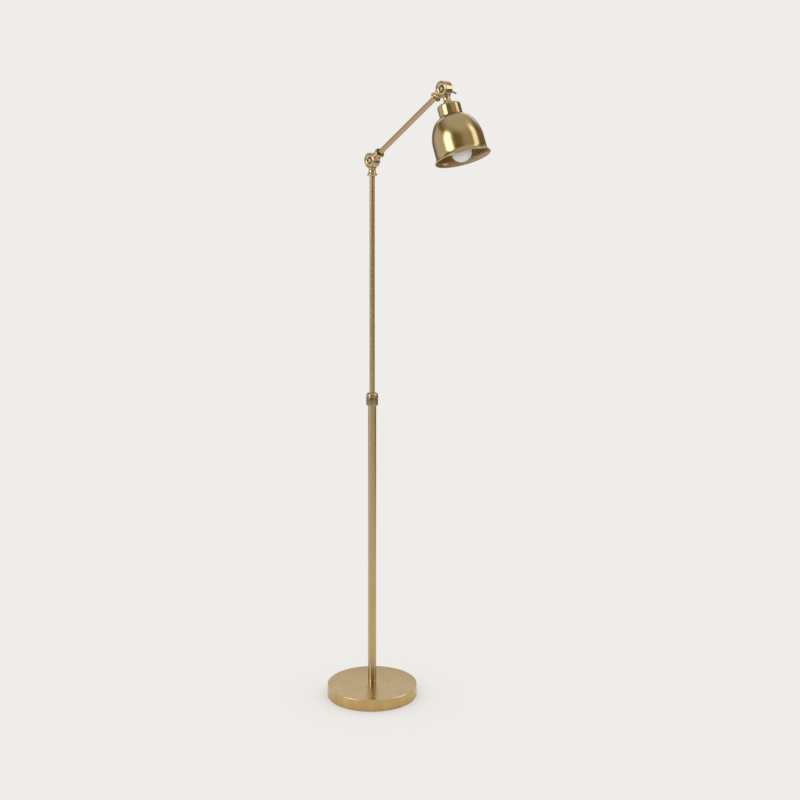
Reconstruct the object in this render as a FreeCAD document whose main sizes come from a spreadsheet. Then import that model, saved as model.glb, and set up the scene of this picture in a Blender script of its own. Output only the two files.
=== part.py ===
import FreeCAD, Part
import math
import os
import Sketcher

# A bridge floor lamp: a weighted round base, a telescopic post with a knurled locking nut, an arm
# between two clamped knuckles, and a bell shade over an opal bulb.
#
# Frame: origin at the centre of the base's underside, +Z up the post, the arm leaning out over +X.
# Both knuckles turn about Y, with their screw heads at -Y and their wing nuts at +Y.
# Knuckle halves are drawn with the pivot at the origin and the neck down -Z.
# Pieces of the head are drawn with the tilt pivot at the origin and the shade's axis down -Z.

DIMENSIONS = [
    # base
    ("base_radius", 120.0, "outside of the cover"),
    ("base_top", 30.5, "height of the cover's top face"),
    ("cover_lift", 1.0, "gap between the cover's lip and the floor"),
    ("cover_wall", 1.5, "cover sheet"),
    ("cover_edge", 2.0, "rounding of the cover's top edge"),
    ("pad_radius", 116.5, "foam pad under the weight"),
    ("pad_thick", 2.0, "foam pad"),
    ("weight_radius", 117.0, "cast weight"),
    ("weight_web", 12.0, "thickness of the weight's web"),
    ("weight_rim", 13.0, "width of the weight's rim"),
    ("outlet_height", 10.0, "cord outlet above the floor"),
    ("outlet_bore", 3.5, "radius of the outlet's bore"),
    ("outlet_neck", 5.0, "radius of the bush where it passes the cover"),
    ("outlet_flange", 6.4, "radius of the bush's flanges"),
    ("outlet_slot", 8.0, "half width of the slot in the weight"),
    ("stud_radius", 5.0, "hollow threaded stud"),
    ("stud_bore", 3.9, "bore of the stud"),
    ("stud_low", 9.0, "lower end of the stud"),
    ("stud_top", 52.0, "upper end of the stud"),
    ("nut_width", 8.0, "half the nut's width across flats"),
    ("nut_thick", 4.0, "hexagon nut"),
    ("washer_radius", 13.0, "large washer"),
    ("washer_thick", 1.6, "large washer"),
    # post
    ("foot_radius", 10.8, "polished ring at the post's foot"),
    ("foot_tall", 9.5, "polished ring at the post's foot"),
    ("lower_radius", 11.0, "lower tube"),
    ("lower_bore", 9.5, "inside of the lower tube"),
    ("lower_top", 786.0, "upper end of the lower tube"),
    ("insert_tall", 16.0, "threaded plug in the lower tube"),
    ("upper_radius", 7.0, "upper tube and arm tube"),
    ("upper_bore", 5.8, "inside of the upper tube and arm tube"),
    ("upper_low", 691.0, "lower end of the upper tube"),
    ("ferrule_spigot", 24.0, "length of the ferrule inside the lower tube"),
    ("ferrule_radius", 12.5, "threaded head of the ferrule"),
    ("ferrule_tall", 14.0, "threaded head of the ferrule"),
    ("ferrule_bore", 7.3, "bore of the ferrule"),
    ("collet_tall", 9.0, "split collet"),
    ("collet_slit", 1.2, "width of the collet's slits"),
    ("collar_low", 779.0, "lower end of the locking nut"),
    ("collar_radius", 16.2, "knurled outside of the locking nut"),
    ("collar_tall", 35.0, "locking nut"),
    ("collar_round", 2.4, "rounding under the knurl"),
    ("knurl_tall", 24.0, "height of the knurl's top"),
    ("knurl_deep", 0.55, "depth of a knurl groove"),
    ("dome_radius", 8.0, "rounding of the nut's dome"),
    ("running_gap", 0.05, "radial clearance of a running fit"),
    ("bush_radius", 9.42, "guide bush"),
    ("bush_tall", 24.0, "guide bush"),
    ("ring_radius", 8.6, "retaining rings of the bush"),
    ("ring_thick", 1.2, "retaining rings of the bush"),
    # knuckles
    ("elbow_height", 1440.8, "elbow pivot above the floor"),
    ("arm_length", 337.0, "pivot to pivot"),
    ("arm_rise", 33.7, "arm above the horizontal, degrees"),
    ("disc_radius", 20.5, "knuckle disc"),
    ("disc_face", 11.5, "outer face of a half knuckle from the middle plane"),
    ("disc_split", 0.3, "inner face of a half knuckle from the middle plane"),
    ("disc_edge", 1.6, "rounding of the knuckle's outer edge"),
    ("land_width", 1.2, "flat land inside the rounded edge"),
    ("groove_deep", 0.9, "groove inside the land"),
    ("ridge_outer", 16.2, "outside of the raised ring"),
    ("recess_radius", 10.2, "recess round the screw"),
    ("ridge_rise", 0.6, "height of the raised ring above the land"),
    ("ridge_round", 3.8, "section radius of the raised ring"),
    ("recess_floor", 8.0, "floor of the recess from the middle plane"),
    ("cavity_radius", 12.6, "wire cavity inside the knuckle"),
    ("cavity_roof", 6.0, "wire cavity's roof from the middle plane"),
    ("boss_radius", 5.8, "boss round the screw"),
    ("screw_hole", 4.08, "hole for the clamping screw"),
    ("wire_bore", 3.2, "wire hole through a neck"),
    ("neck_gap", 0.8, "clearance over the other half's disc"),
    ("neck_core", 10.0, "neck inside its disc"),
    ("core_top", 16.0, "distance of the neck's inner end from the pivot"),
    ("lip_drop", 20.2, "distance of a neck's lip from the pivot"),
    ("lip_thick", 2.4, "lip at the root of a neck"),
    ("lip_round", 0.9, "rounding of the lip's edge"),
    ("post_lip", 10.6, "lip of the post's neck"),
    ("arm_lip", 12.8, "lip of the arm's necks"),
    ("head_lip", 11.4, "lip of the head's neck"),
    ("waist_radius", 9.2, "neck's waist"),
    ("waist_end", 3.15, "from a bead's or flange's centre to the start of its waist"),
    ("spigot_long", 16.0, "spigot inside a tube"),
    ("post_waist", 27.0, "distance of the post neck's waist from the pivot"),
    ("post_bead", 38.6, "distance of the post neck's bead from the pivot"),
    ("bead_radius", 13.3, "outside of the post neck's bead"),
    ("bead_round", 3.6, "section radius of the post neck's bead"),
    ("arm_waist", 27.0, "distance of an arm neck's waist from the pivot"),
    ("cup_centre", 36.5, "distance of an arm flange from the pivot"),
    ("cup_radius", 14.0, "outside of an arm flange"),
    ("cup_round", 3.4, "section radius of an arm flange"),
    ("cup_mouth", 10.0, "recess round the arm tube"),
    ("cup_deep", 2.6, "recess round the arm tube"),
    # clamping screws and wing nuts
    ("screw_radius", 4.0, "clamping screw"),
    ("screw_end", 24.0, "screw's end from the middle plane"),
    ("head_radius", 5.6, "screw head"),
    ("head_tall", 1.6, "screw head at its edge"),
    ("head_crown", 2.2, "crown of the screw head"),
    ("slot_wide", 1.4, "screwdriver slot"),
    ("slot_deep", 1.2, "screwdriver slot"),
    ("friction_outer", 18.6, "friction washer"),
    ("friction_inner", 13.4, "friction washer"),
    ("spring_thick", 1.8, "spring washer"),
    ("spring_outer", 7.8, "spring washer"),
    ("wing_seat", 8.0, "foot of the wing nut's hub"),
    ("wing_crown", 5.6, "top of the wing nut's hub"),
    ("wing_hub", 11.6, "height of the wing nut's hub"),
    ("wing_thick", 1.9, "thickness of a wing"),
    ("wing_low", 3.2, "lower edge of the wings above the hub's foot"),
    ("wing_high", 17.6, "tip of the wings above the hub's foot"),
    ("wing_reach", 24.0, "tip of the wings from the screw's axis"),
    ("elbow_wing_turn", -48.0, "turn of the elbow's wing nut, degrees"),
    ("tilt_wing_turn", 32.0, "turn of the tilt knuckle's wing nut, degrees"),
    # head, measured down the shade's axis from the tilt pivot
    ("head_lean", 21.4, "lean of the shade's axis from the vertical, degrees"),
    ("cap_top", 43.3, "top of the cap"),
    ("shade_top", 75.1, "flat top of the shade"),
    ("cap_radius", 30.1, "cap"),
    ("cap_wall", 1.6, "cap sheet"),
    ("cap_edge", 6.0, "rounding of the cap's top edge"),
    ("head_waist", 28.8, "waist of the head's neck"),
    ("head_flare", 14.5, "foot of the head's neck"),
    ("flare_edge", 1.2, "edge of the neck's foot on the cap"),
    ("nipple_low", 64.8, "lower end of the hollow nipple"),
    ("nipple_high", 34.8, "upper end of the hollow nipple"),
    ("shade_wall", 1.2, "shade sheet"),
    ("shade_hole", 19.7, "hole for the lampholder"),
    ("crown_radius", 28.6, "flat crown of the shade"),
    ("bell_radius", 66.2, "straight part of the shade"),
    ("bell_start", 145.3, "top of the straight part"),
    ("bell_stop", 173.3, "bottom of the straight part"),
    ("side_round", 98.0, "arc of the shade's side"),
    ("side_turn", 25.5, "turn of the side arc, degrees"),
    ("shoulder_round", 53.5, "arc of the shade's shoulder"),
    ("flare_round", 27.0, "arc of the flare"),
    ("flare_turn", 33.0, "turn of the flare, degrees"),
    ("rim_round", 1.7, "section radius of the rolled rim"),
    ("holder_top", 56.8, "top of the lampholder"),
    ("holder_radius", 22.0, "lampholder above the shade"),
    ("skirt_radius", 19.5, "threaded skirt of the lampholder"),
    ("skirt_low", 114.8, "lower end of the lampholder"),
    ("socket_bore", 14.5, "socket bore of the lampholder"),
    ("socket_floor", 90.8, "floor of the socket"),
    ("shell_bore", 13.4, "inside of the screw shell"),
    ("contact_radius", 2.8, "centre contact"),
    ("shade_nut_radius", 26.0, "shade ring"),
    ("shade_nut_tall", 8.0, "shade ring"),
    # bulb
    ("bulb_contact", 94.8, "contact of the bulb"),
    ("cap_rim", 120.8, "open end of the bulb's cap"),
    ("bulb_cap_radius", 13.1, "bulb's cap"),
    ("bulb_neck", 13.7, "neck of the bulb"),
    ("bulb_radius", 27.5, "globe of the bulb"),
    ("bulb_centre", 171.3, "centre of the globe"),
    ("bulb_wall", 1.0, "glass"),
    ("cone_turn", 71.7, "angle where the bulb's cone meets its globe, degrees"),
]

doc = FreeCAD.newDocument("BridgeFloorLamp")
sheet = doc.addObject("Spreadsheet::Sheet", "Dims")
pieces = []


class Size:
    """A number and the sheet expression that it comes from."""

    def __init__(self, value, text):
        self.value = float(value)
        self.text = text

    def __add__(self, other):
        other = size(other)
        return Size(self.value + other.value, f"({self.text} + {other.text})")

    def __sub__(self, other):
        other = size(other)
        return Size(self.value - other.value, f"({self.text} - {other.text})")

    def __mul__(self, other):
        other = size(other)
        return Size(self.value * other.value, f"({self.text} * {other.text})")

    def __neg__(self):
        return Size(-self.value, f"(-1 * {self.text})")


def size(number):
    return number if isinstance(number, Size) else Size(number, f"({float(number)!r})")


def inverse(number):
    return Size(1.0 / number.value, f"(1 / {number.text})")


def cosine(degrees):
    return Size(math.cos(math.radians(degrees.value)), f"cos({degrees.text} * 1 deg)")


def sine(degrees):
    return Size(math.sin(math.radians(degrees.value)), f"sin({degrees.text} * 1 deg)")


class Dimensions:
    """The sheet's cells, read as sizes: dim.base_radius."""

    def __getattr__(self, alias):
        return Size(self.__dict__["cells"][alias], f"Dims.{alias}")


dim = Dimensions()
dim.__dict__["cells"] = {}


def fill_sheet():
    for row, (alias, value, meaning) in enumerate(DIMENSIONS, start=1):
        sheet.set(f"A{row}", alias)
        sheet.set(f"B{row}", str(value))
        sheet.set(f"C{row}", meaning)
        sheet.setAlias(f"B{row}", alias)
    doc.recompute()
    for alias, _, _ in DIMENSIONS:
        dim.__dict__["cells"][alias] = float(sheet.get(alias))


# --- drawing helpers ---------------------------------------------------------------------------


def bind(thing, name, value):
    thing.setExpression(name, size(value).text)


def new_body(label):
    body = doc.addObject("PartDesign::Body", label)
    body.Label = label
    pieces.append(body)
    return body


def origin_plane(body, role):
    for feature in body.Origin.OriginFeatures:
        if feature.Role == role:
            return feature
    raise ValueError(role)


def new_sketch(body, name, role):
    sketch = body.newObject("Sketcher::SketchObject", name)
    sketch.AttachmentSupport = [(origin_plane(body, role), "")]
    sketch.MapMode = "FlatFace"
    return sketch


def pin_coordinate(sketch, kind, line, end, coordinate):
    """Ties one coordinate of a line's end to the sheet."""
    coordinate = size(coordinate)
    if coordinate.value == 0.0:
        axis = -2 if kind == "DistanceX" else -1
        sketch.addConstraint(Sketcher.Constraint("PointOnObject", line, end, axis))
        return
    index = sketch.addConstraint(Sketcher.Constraint(kind, -1, 1, line, end, coordinate.value))
    bind(sketch, f"Constraints[{index}]", coordinate)


def arc_between(start, end, radius, turn):
    """The short arc from start to end; turn is 1 for counter-clockwise, -1 for clockwise."""
    chord = end - start
    middle = start + chord * 0.5
    height = math.sqrt(max(radius**2 - (chord.Length / 2) ** 2, 0.0))
    across = FreeCAD.Vector(-chord.y, chord.x, 0).normalize() * turn
    centre = middle + across * height
    crown = centre - across * radius
    return Part.Arc(start, crown, end)


def outline(sketch, *corners):
    """A closed outline. A corner is (x, y), or (x, y, radius, turn) where an arc leads to it."""
    points = [FreeCAD.Vector(size(c[0]).value, size(c[1]).value, 0) for c in corners]
    first = sketch.GeometryCount
    for index, corner in enumerate(corners):
        start, end = points[index - 1], points[index]
        if len(corner) == 4:
            curve = arc_between(start, end, size(corner[2]).value, corner[3])
        else:
            curve = Part.LineSegment(start, end)
        sketch.addGeometry(curve, False)
    ends = [end_of(corner) for corner in corners]
    for index, corner in enumerate(corners):
        line, before = first + index, first + (index - 1) % len(corners)
        start_point = 3 - ends[index]
        sketch.addConstraint(
            Sketcher.Constraint("Coincident", before, ends[index - 1], line, start_point)
        )
        pin_coordinate(sketch, "DistanceX", line, ends[index], corner[0])
        pin_coordinate(sketch, "DistanceY", line, ends[index], corner[1])
        if len(corner) == 4:
            radius = size(corner[2])
            constraint = sketch.addConstraint(Sketcher.Constraint("Radius", line, radius.value))
            bind(sketch, f"Constraints[{constraint}]", radius)


def end_of(corner):
    """Which end of its curve a corner is: a clockwise arc is stored the other way round."""
    return 1 if len(corner) == 4 and corner[3] < 0 else 2


def rectangle(sketch, low_x, low_y, high_x, high_y):
    outline(sketch, (low_x, low_y), (high_x, low_y), (high_x, high_y), (low_x, high_y))


def disc(sketch, x, y, radius):
    """A circle at (x, y)."""
    radius = size(radius)
    centre = FreeCAD.Vector(size(x).value, size(y).value, 0)
    circle = sketch.addGeometry(Part.Circle(centre, FreeCAD.Vector(0, 0, 1), radius.value), False)
    pin_coordinate(sketch, "DistanceX", circle, 3, x)
    pin_coordinate(sketch, "DistanceY", circle, 3, y)
    index = sketch.addConstraint(Sketcher.Constraint("Radius", circle, radius.value))
    bind(sketch, f"Constraints[{index}]", radius)


def turn_profile(body, kind, sketch, axis):
    """A full turn of a sketch about its own horizontal or vertical axis."""
    feature = body.newObject(f"PartDesign::{kind}", f"{sketch.Name}_{kind}")
    feature.Profile = sketch
    feature.ReferenceAxis = (sketch, [axis])
    feature.Angle = 360.0
    return feature


def turned_piece(label, *corners):
    """A piece turned about Z from an outline in the XZ plane."""
    body = new_body(label)
    sketch = new_sketch(body, f"{label}_outline", "XZ_Plane")
    outline(sketch, *corners)
    turn_profile(body, "Revolution", sketch, "V_Axis")
    return body


def push(body, kind, sketch, length, back=False, midplane=False):
    """A pad or pocket of a sketch."""
    feature = body.newObject(f"PartDesign::{kind}", f"{sketch.Name}_{kind}")
    feature.Profile = sketch
    feature.Type = "Length"
    bind(feature, "Length", length)
    feature.Reversed = back
    feature.Midplane = midplane
    return feature


def repeat_round(body, feature, sketch, count):
    pattern = body.newObject("PartDesign::PolarPattern", f"{feature.Name}_round")
    pattern.Originals = [feature]
    pattern.Axis = (sketch, ["N_Axis"])
    pattern.Angle = 360.0
    pattern.Occurrences = count
    body.Tip = pattern
    return pattern


def place(piece, x=0.0, y=0.0, z=0.0, turn=0.0):
    """Puts a piece at (x, y, z), turned about Y by some degrees."""
    x, y, z, turn = size(x), size(y), size(z), size(turn)
    rotation = FreeCAD.Rotation(FreeCAD.Vector(0, 1, 0), turn.value)
    piece.Placement = FreeCAD.Placement(FreeCAD.Vector(x.value, y.value, z.value), rotation)
    bind(piece, "Placement.Base.x", x)
    bind(piece, "Placement.Base.y", y)
    bind(piece, "Placement.Base.z", z)


def cylinder(name, radius, low, high):
    """A primitive cylinder along Z."""
    shape = doc.addObject("Part::Cylinder", name)
    low, high = size(low), size(high)
    bind(shape, "Radius", radius)
    bind(shape, "Height", high - low)
    shape.Placement.Base.z = low.value
    bind(shape, "Placement.Base.z", low)
    return shape


def cut(label, base, tool):
    result = doc.addObject("Part::Cut", label)
    result.Label = label
    result.Base = base
    result.Tool = tool
    pieces.append(result)
    return result


def pipe(label, outer, inner, low, high):
    """A round tube or ring along Z."""
    outside = cylinder(f"{label}_outside", outer, low, high)
    inside = cylinder(f"{label}_inside", inner, size(low) - 1.0, size(high) + 1.0)
    return cut(label, outside, inside)


# --- base --------------------------------------------------------------------------------------


def make_base_cover():
    inner = dim.base_radius - dim.cover_wall
    ceiling = dim.base_top - dim.cover_wall
    body = turned_piece(
        "base_cover",
        (dim.stud_radius, ceiling),
        (inner, ceiling),
        (inner, dim.cover_lift),
        (dim.base_radius, dim.cover_lift),
        (dim.base_radius, dim.base_top - dim.cover_edge),
        (dim.base_radius - dim.cover_edge, dim.base_top, dim.cover_edge, 1),
        (dim.stud_radius, dim.base_top),
    )
    hole = new_sketch(body, "cord_hole", "YZ_Plane")
    disc(hole, 0.0, dim.outlet_height, dim.outlet_neck)
    push(body, "Pocket", hole, dim.base_radius + 1.0)


def make_base_weight():
    top = dim.base_top - dim.cover_wall
    body = turned_piece(
        "base_weight",
        (dim.stud_radius, top),
        (dim.stud_radius, top - dim.weight_web),
        (dim.weight_radius - dim.weight_rim, top - dim.weight_web),
        (dim.weight_radius - dim.weight_rim, dim.pad_thick),
        (dim.weight_radius, dim.pad_thick),
        (dim.weight_radius, top),
    )
    slot = new_sketch(body, "cord_slot", "YZ_Plane")
    rectangle(slot, -dim.outlet_slot, dim.pad_thick - 1.0, dim.outlet_slot, top - dim.weight_web)
    push(body, "Pocket", slot, dim.weight_radius + 1.0)


def make_base_pad():
    pad = cylinder("base_pad", dim.pad_radius, 0.0, dim.pad_thick)
    pad.Label = "base_pad"
    pieces.append(pad)


def make_cord_outlet():
    """The flanged bush that the cord leaves by, at the back of the base."""
    inner_lip = dim.base_radius - dim.cover_wall - 0.3
    body = new_body("cord_outlet_bush")
    sketch = new_sketch(body, "bush_outline", "XZ_Plane")
    outline(
        sketch,
        (-(dim.base_radius + 2.0), dim.outlet_bore),
        (-(inner_lip - 2.4), dim.outlet_bore),
        (-(inner_lip - 2.4), dim.outlet_flange),
        (-inner_lip, dim.outlet_flange),
        (-inner_lip, dim.outlet_neck),
        (-dim.base_radius, dim.outlet_neck),
        (-dim.base_radius, dim.outlet_flange),
        (-(dim.base_radius + 0.8), dim.outlet_flange),
        (-(dim.base_radius + 2.0), dim.outlet_flange - 1.2, 1.2, 1),
    )
    turn_profile(body, "Revolution", sketch, "H_Axis")
    place(body, z=dim.outlet_height)


def make_stud_and_nut():
    pipe("base_stud", dim.stud_radius, dim.stud_bore, dim.stud_low, dim.stud_top)
    web_low = dim.base_top - dim.cover_wall - dim.weight_web
    washer_low = web_low - dim.washer_thick
    pipe("base_washer", dim.washer_radius, dim.stud_radius, washer_low, web_low)
    hexagon_nut("base_nut", dim.nut_width, dim.nut_thick)
    place(pieces[-1], z=washer_low - dim.nut_thick)


def hexagon_nut(label, half_flats, thick):
    body = new_body(label)
    sketch = new_sketch(body, f"{label}_hexagon", "XY_Plane")
    reach = half_flats * (2.0 / math.sqrt(3.0))
    corners = []
    for corner in range(6):
        angle = math.radians(60 * corner + 30)
        corners.append((reach * math.cos(angle), reach * math.sin(angle)))
    outline(sketch, *corners)
    push(body, "Pad", sketch, thick)
    bore = new_sketch(body, f"{label}_bore", "XY_Plane")
    disc(bore, 0.0, 0.0, dim.stud_radius)
    push(body, "Pocket", bore, thick, back=True)


# --- post --------------------------------------------------------------------------------------


def make_lower_post():
    foot_top = dim.base_top + dim.foot_tall
    turned_piece(
        "foot_ferrule",
        (dim.stud_radius, dim.base_top),
        (dim.foot_radius, dim.base_top),
        (dim.foot_radius, foot_top - 1.0),
        (dim.foot_radius - 1.0, foot_top, 1.0, 1),
        (dim.stud_radius, foot_top),
    )
    pipe("lower_tube", dim.lower_radius, dim.lower_bore, foot_top, dim.lower_top)
    pipe("lower_tube_plug", dim.lower_bore, dim.stud_radius, foot_top, foot_top + dim.insert_tall)


def make_top_ferrule():
    """Plug of the lower tube's mouth: a guide for the upper tube and a thread for the nut."""
    seat = dim.lower_top + dim.ferrule_tall
    cone = dim.collet_tall * 0.6
    turned_piece(
        "top_ferrule",
        (dim.ferrule_bore, dim.lower_top - dim.ferrule_spigot),
        (dim.lower_bore, dim.lower_top - dim.ferrule_spigot),
        (dim.lower_bore, dim.lower_top),
        (dim.ferrule_radius, dim.lower_top),
        (dim.ferrule_radius, seat),
        (dim.ferrule_bore + 3.4, seat),
        (dim.ferrule_bore + 0.8, seat - cone),
        (dim.ferrule_bore, seat - cone),
    )
    collet = turned_piece(
        "post_collet",
        (dim.upper_radius + dim.running_gap, seat - cone),
        (dim.ferrule_bore + 0.8, seat - cone),
        (dim.ferrule_bore + 3.4, seat),
        (dim.ferrule_bore + 1.6, seat + dim.collet_tall - cone),
        (dim.upper_radius + dim.running_gap, seat + dim.collet_tall - cone),
    )
    slit = new_sketch(collet, "collet_slit", "XY_Plane")
    half = dim.collet_slit * 0.5
    rectangle(slit, dim.upper_radius - 1.0, -half, dim.ferrule_radius, half)
    slits = push(collet, "Pocket", slit, seat + dim.collet_tall, back=True)
    # the slits stop short of the collet's foot, so that it stays one piece
    slit.AttachmentOffset = FreeCAD.Placement(
        FreeCAD.Vector(0, 0, seat.value - cone.value + 1.5), FreeCAD.Rotation()
    )
    bind(slit, "AttachmentOffset.Base.z", seat - cone + 1.5)
    repeat_round(collet, slits, slit, 4)


def make_locking_nut():
    dome_low = dim.collar_tall - dim.dome_radius
    thread_top = dim.lower_top + dim.ferrule_tall + 1.0 - dim.collar_low
    thread = dim.ferrule_radius + dim.running_gap
    passage = dim.upper_radius + 0.3
    plain = dim.collar_radius - 0.3
    body = turned_piece(
        "post_locking_nut",
        (thread, 0.0),
        (dim.collar_radius - dim.collar_round, 0.0),
        (dim.collar_radius, dim.collar_round, dim.collar_round, 1),
        (dim.collar_radius, dim.knurl_tall),
        (plain, dim.knurl_tall),
        (plain, dome_low),
        (plain - dim.dome_radius, dim.collar_tall, dim.dome_radius, 1),
        (passage, dim.collar_tall),
        (passage, thread_top + 5.0),
        (thread, thread_top + 2.6),
    )
    groove = new_sketch(body, "knurl_groove", "XY_Plane")
    outside = dim.collar_radius + 0.2
    outline(
        groove,
        (dim.collar_radius - dim.knurl_deep, 0.0),
        (outside, -0.72),
        (outside, 0.72),
    )
    grooves = push(body, "Pocket", groove, dim.knurl_tall, back=True)
    repeat_round(body, grooves, groove, 48)
    place(body, z=dim.collar_low)


def make_upper_post():
    tube_top = dim.elbow_height - dim.post_bead - dim.bead_round
    pipe("upper_tube", dim.upper_radius, dim.upper_bore, dim.upper_low, tube_top)
    lower_ring = dim.upper_low + 2.0
    bush_low = lower_ring + dim.ring_thick + 0.1
    upper_ring = bush_low + dim.bush_tall + 0.1
    bore = dim.upper_radius + dim.running_gap
    pipe("guide_bush", dim.bush_radius, bore, bush_low, bush_low + dim.bush_tall)
    for name, low in (("bush_ring_lower", lower_ring), ("bush_ring_upper", upper_ring)):
        pipe(name, dim.ring_radius, dim.upper_radius, low, low + dim.ring_thick)


# --- knuckles ----------------------------------------------------------------------------------


def knuckle_half(label, side, neck):
    """Half of a knuckle: a hollow disc on one side of the middle plane, and a whole neck."""
    body = new_body(label)
    disc_outline = new_sketch(body, f"{label}_disc", "YZ_Plane")
    land_in = dim.disc_radius - dim.disc_edge - dim.land_width
    groove_floor = dim.disc_face - dim.groove_deep
    ridge_top = dim.disc_face + dim.ridge_rise
    ridge_half = (dim.ridge_outer - dim.recess_radius) * 0.5
    corners = [
        (dim.disc_split, dim.cavity_radius),
        (dim.disc_split, dim.disc_radius),
        (dim.disc_face - dim.disc_edge, dim.disc_radius),
        (dim.disc_face, dim.disc_radius - dim.disc_edge, dim.disc_edge, -1),
        (dim.disc_face, land_in),
        (groove_floor, land_in),
        (groove_floor, dim.ridge_outer),
        (ridge_top, dim.ridge_outer - ridge_half, dim.ridge_round, 1),
        (groove_floor, dim.recess_radius, dim.ridge_round, 1),
        (dim.recess_floor, dim.recess_radius),
        (dim.recess_floor, dim.screw_hole),
        (dim.disc_split, dim.screw_hole),
        (dim.disc_split, dim.boss_radius),
        (dim.cavity_roof, dim.boss_radius),
        (dim.cavity_roof, dim.cavity_radius),
    ]
    outline(disc_outline, *mirrored(corners, side))
    turn_profile(body, "Revolution", disc_outline, "H_Axis")

    neck_outline = new_sketch(body, f"{label}_neck", "YZ_Plane")
    outline(neck_outline, *neck)
    turn_profile(body, "Revolution", neck_outline, "V_Axis")

    # the other half turns over this side, so the neck is cut back there
    sweep = new_sketch(body, f"{label}_sweep", "YZ_Plane")
    outer = dim.disc_radius + dim.neck_gap
    reach = dim.disc_face + dim.ridge_rise + 1.0
    sweep_corners = [
        (dim.disc_split, 0.0),
        (dim.disc_split, outer),
        (-reach, outer),
        (-reach, 0.0),
    ]
    outline(sweep, *mirrored(sweep_corners, side))
    turn_profile(body, "Groove", sweep, "H_Axis")

    # wire hole along the neck, up to the cavity
    wire = new_sketch(body, f"{label}_wire", "YZ_Plane")
    rectangle(wire, 0.0, -90.0, dim.wire_bore, -(dim.cavity_radius - 1.0))
    turn_profile(body, "Groove", wire, "V_Axis")

    # cavity and screw hole again, through the part of the neck inside the disc
    core = new_sketch(body, f"{label}_core", "YZ_Plane")
    core_corners = [
        (dim.disc_split - 1.0, dim.boss_radius),
        (dim.disc_split - 1.0, dim.cavity_radius),
        (dim.cavity_roof, dim.cavity_radius),
        (dim.cavity_roof, dim.boss_radius),
    ]
    outline(core, *mirrored(core_corners, side))
    turn_profile(body, "Groove", core, "H_Axis")
    return body


def mirrored(corners, side):
    """The same corners on the +Y or -Y side; an arc's turn changes with the side."""
    result = []
    for corner in corners:
        across = size(corner[0]) if side > 0 else -size(corner[0])
        if len(corner) == 4:
            result.append((across, corner[1], corner[2], corner[3] * side))
        else:
            result.append((across, corner[1]))
    return result


def blend_radius(rise, run):
    """Radius of an arc that starts along a line and has risen from it by so much after a run."""
    return (rise * rise + run * run) * inverse(rise * 2.0)


def neck_root(lip, waist_drop):
    """A neck from its waist to its disc: a hollow, a lip with a rounded edge, and a core."""
    far = dim.lip_drop + dim.lip_thick
    shoulder = lip - dim.lip_round
    hollow = blend_radius(shoulder - dim.waist_radius, waist_drop - far)
    return [
        (shoulder, -far, hollow, -1),
        (lip, -(far - dim.lip_round), dim.lip_round, 1),
        (lip, -dim.lip_drop),
        (dim.neck_core, -dim.lip_drop),
        (dim.neck_core, -dim.core_top),
        (0.0, -dim.core_top),
    ]


def post_neck():
    """The neck over the upper tube: a spigot, a bead and a waist."""
    bead_low = -(dim.post_bead + dim.bead_round)
    shoulder = dim.bead_radius - dim.bead_round * 0.5
    start = dim.post_bead - dim.waist_end
    hollow = blend_radius(shoulder - dim.waist_radius, start - dim.post_waist)
    return [
        (0.0, bead_low - dim.spigot_long),
        (dim.upper_bore, bead_low - dim.spigot_long),
        (dim.upper_bore, bead_low),
        (dim.bead_radius - dim.bead_round, bead_low),
        (dim.bead_radius, -dim.post_bead, dim.bead_round, 1),
        (shoulder, -start, dim.bead_round, 1),
        (dim.waist_radius, -dim.post_waist, hollow, -1),
        *neck_root(dim.post_lip, dim.post_waist),
    ]


def arm_neck():
    """The neck over an end of the arm tube: a spigot, a flange with a recess, and a waist."""
    face = -(dim.cup_centre + dim.cup_round)
    shoulder = dim.cup_radius - dim.cup_round * 0.5
    start = dim.cup_centre - dim.waist_end + 0.15
    hollow = blend_radius(shoulder - dim.waist_radius, start - dim.arm_waist)
    return [
        (0.0, face - dim.spigot_long),
        (dim.upper_bore, face - dim.spigot_long),
        (dim.upper_bore, face + dim.cup_deep),
        (dim.cup_mouth, face + dim.cup_deep),
        (dim.cup_mouth, face),
        (dim.cup_radius - dim.cup_round, face),
        (dim.cup_radius, -dim.cup_centre, dim.cup_round, 1),
        (shoulder, -start, dim.cup_round, 1),
        (dim.waist_radius, -dim.arm_waist, hollow, -1),
        *neck_root(dim.arm_lip, dim.arm_waist),
    ]


def head_neck():
    """The neck over the cap: a waist that flares to the cap's top."""
    edge = dim.cap_top - dim.flare_edge
    flare = blend_radius(dim.head_flare - dim.waist_radius, edge - dim.head_waist)
    return [
        (0.0, -dim.cap_top),
        (dim.head_flare, -dim.cap_top),
        (dim.head_flare, -edge),
        (dim.waist_radius, -dim.head_waist, flare, -1),
        *neck_root(dim.head_lip, dim.head_waist),
    ]


def arm_step():
    """From the elbow pivot to the tilt pivot, along X and up."""
    return dim.arm_length * cosine(dim.arm_rise), dim.arm_length * sine(dim.arm_rise)


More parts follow.
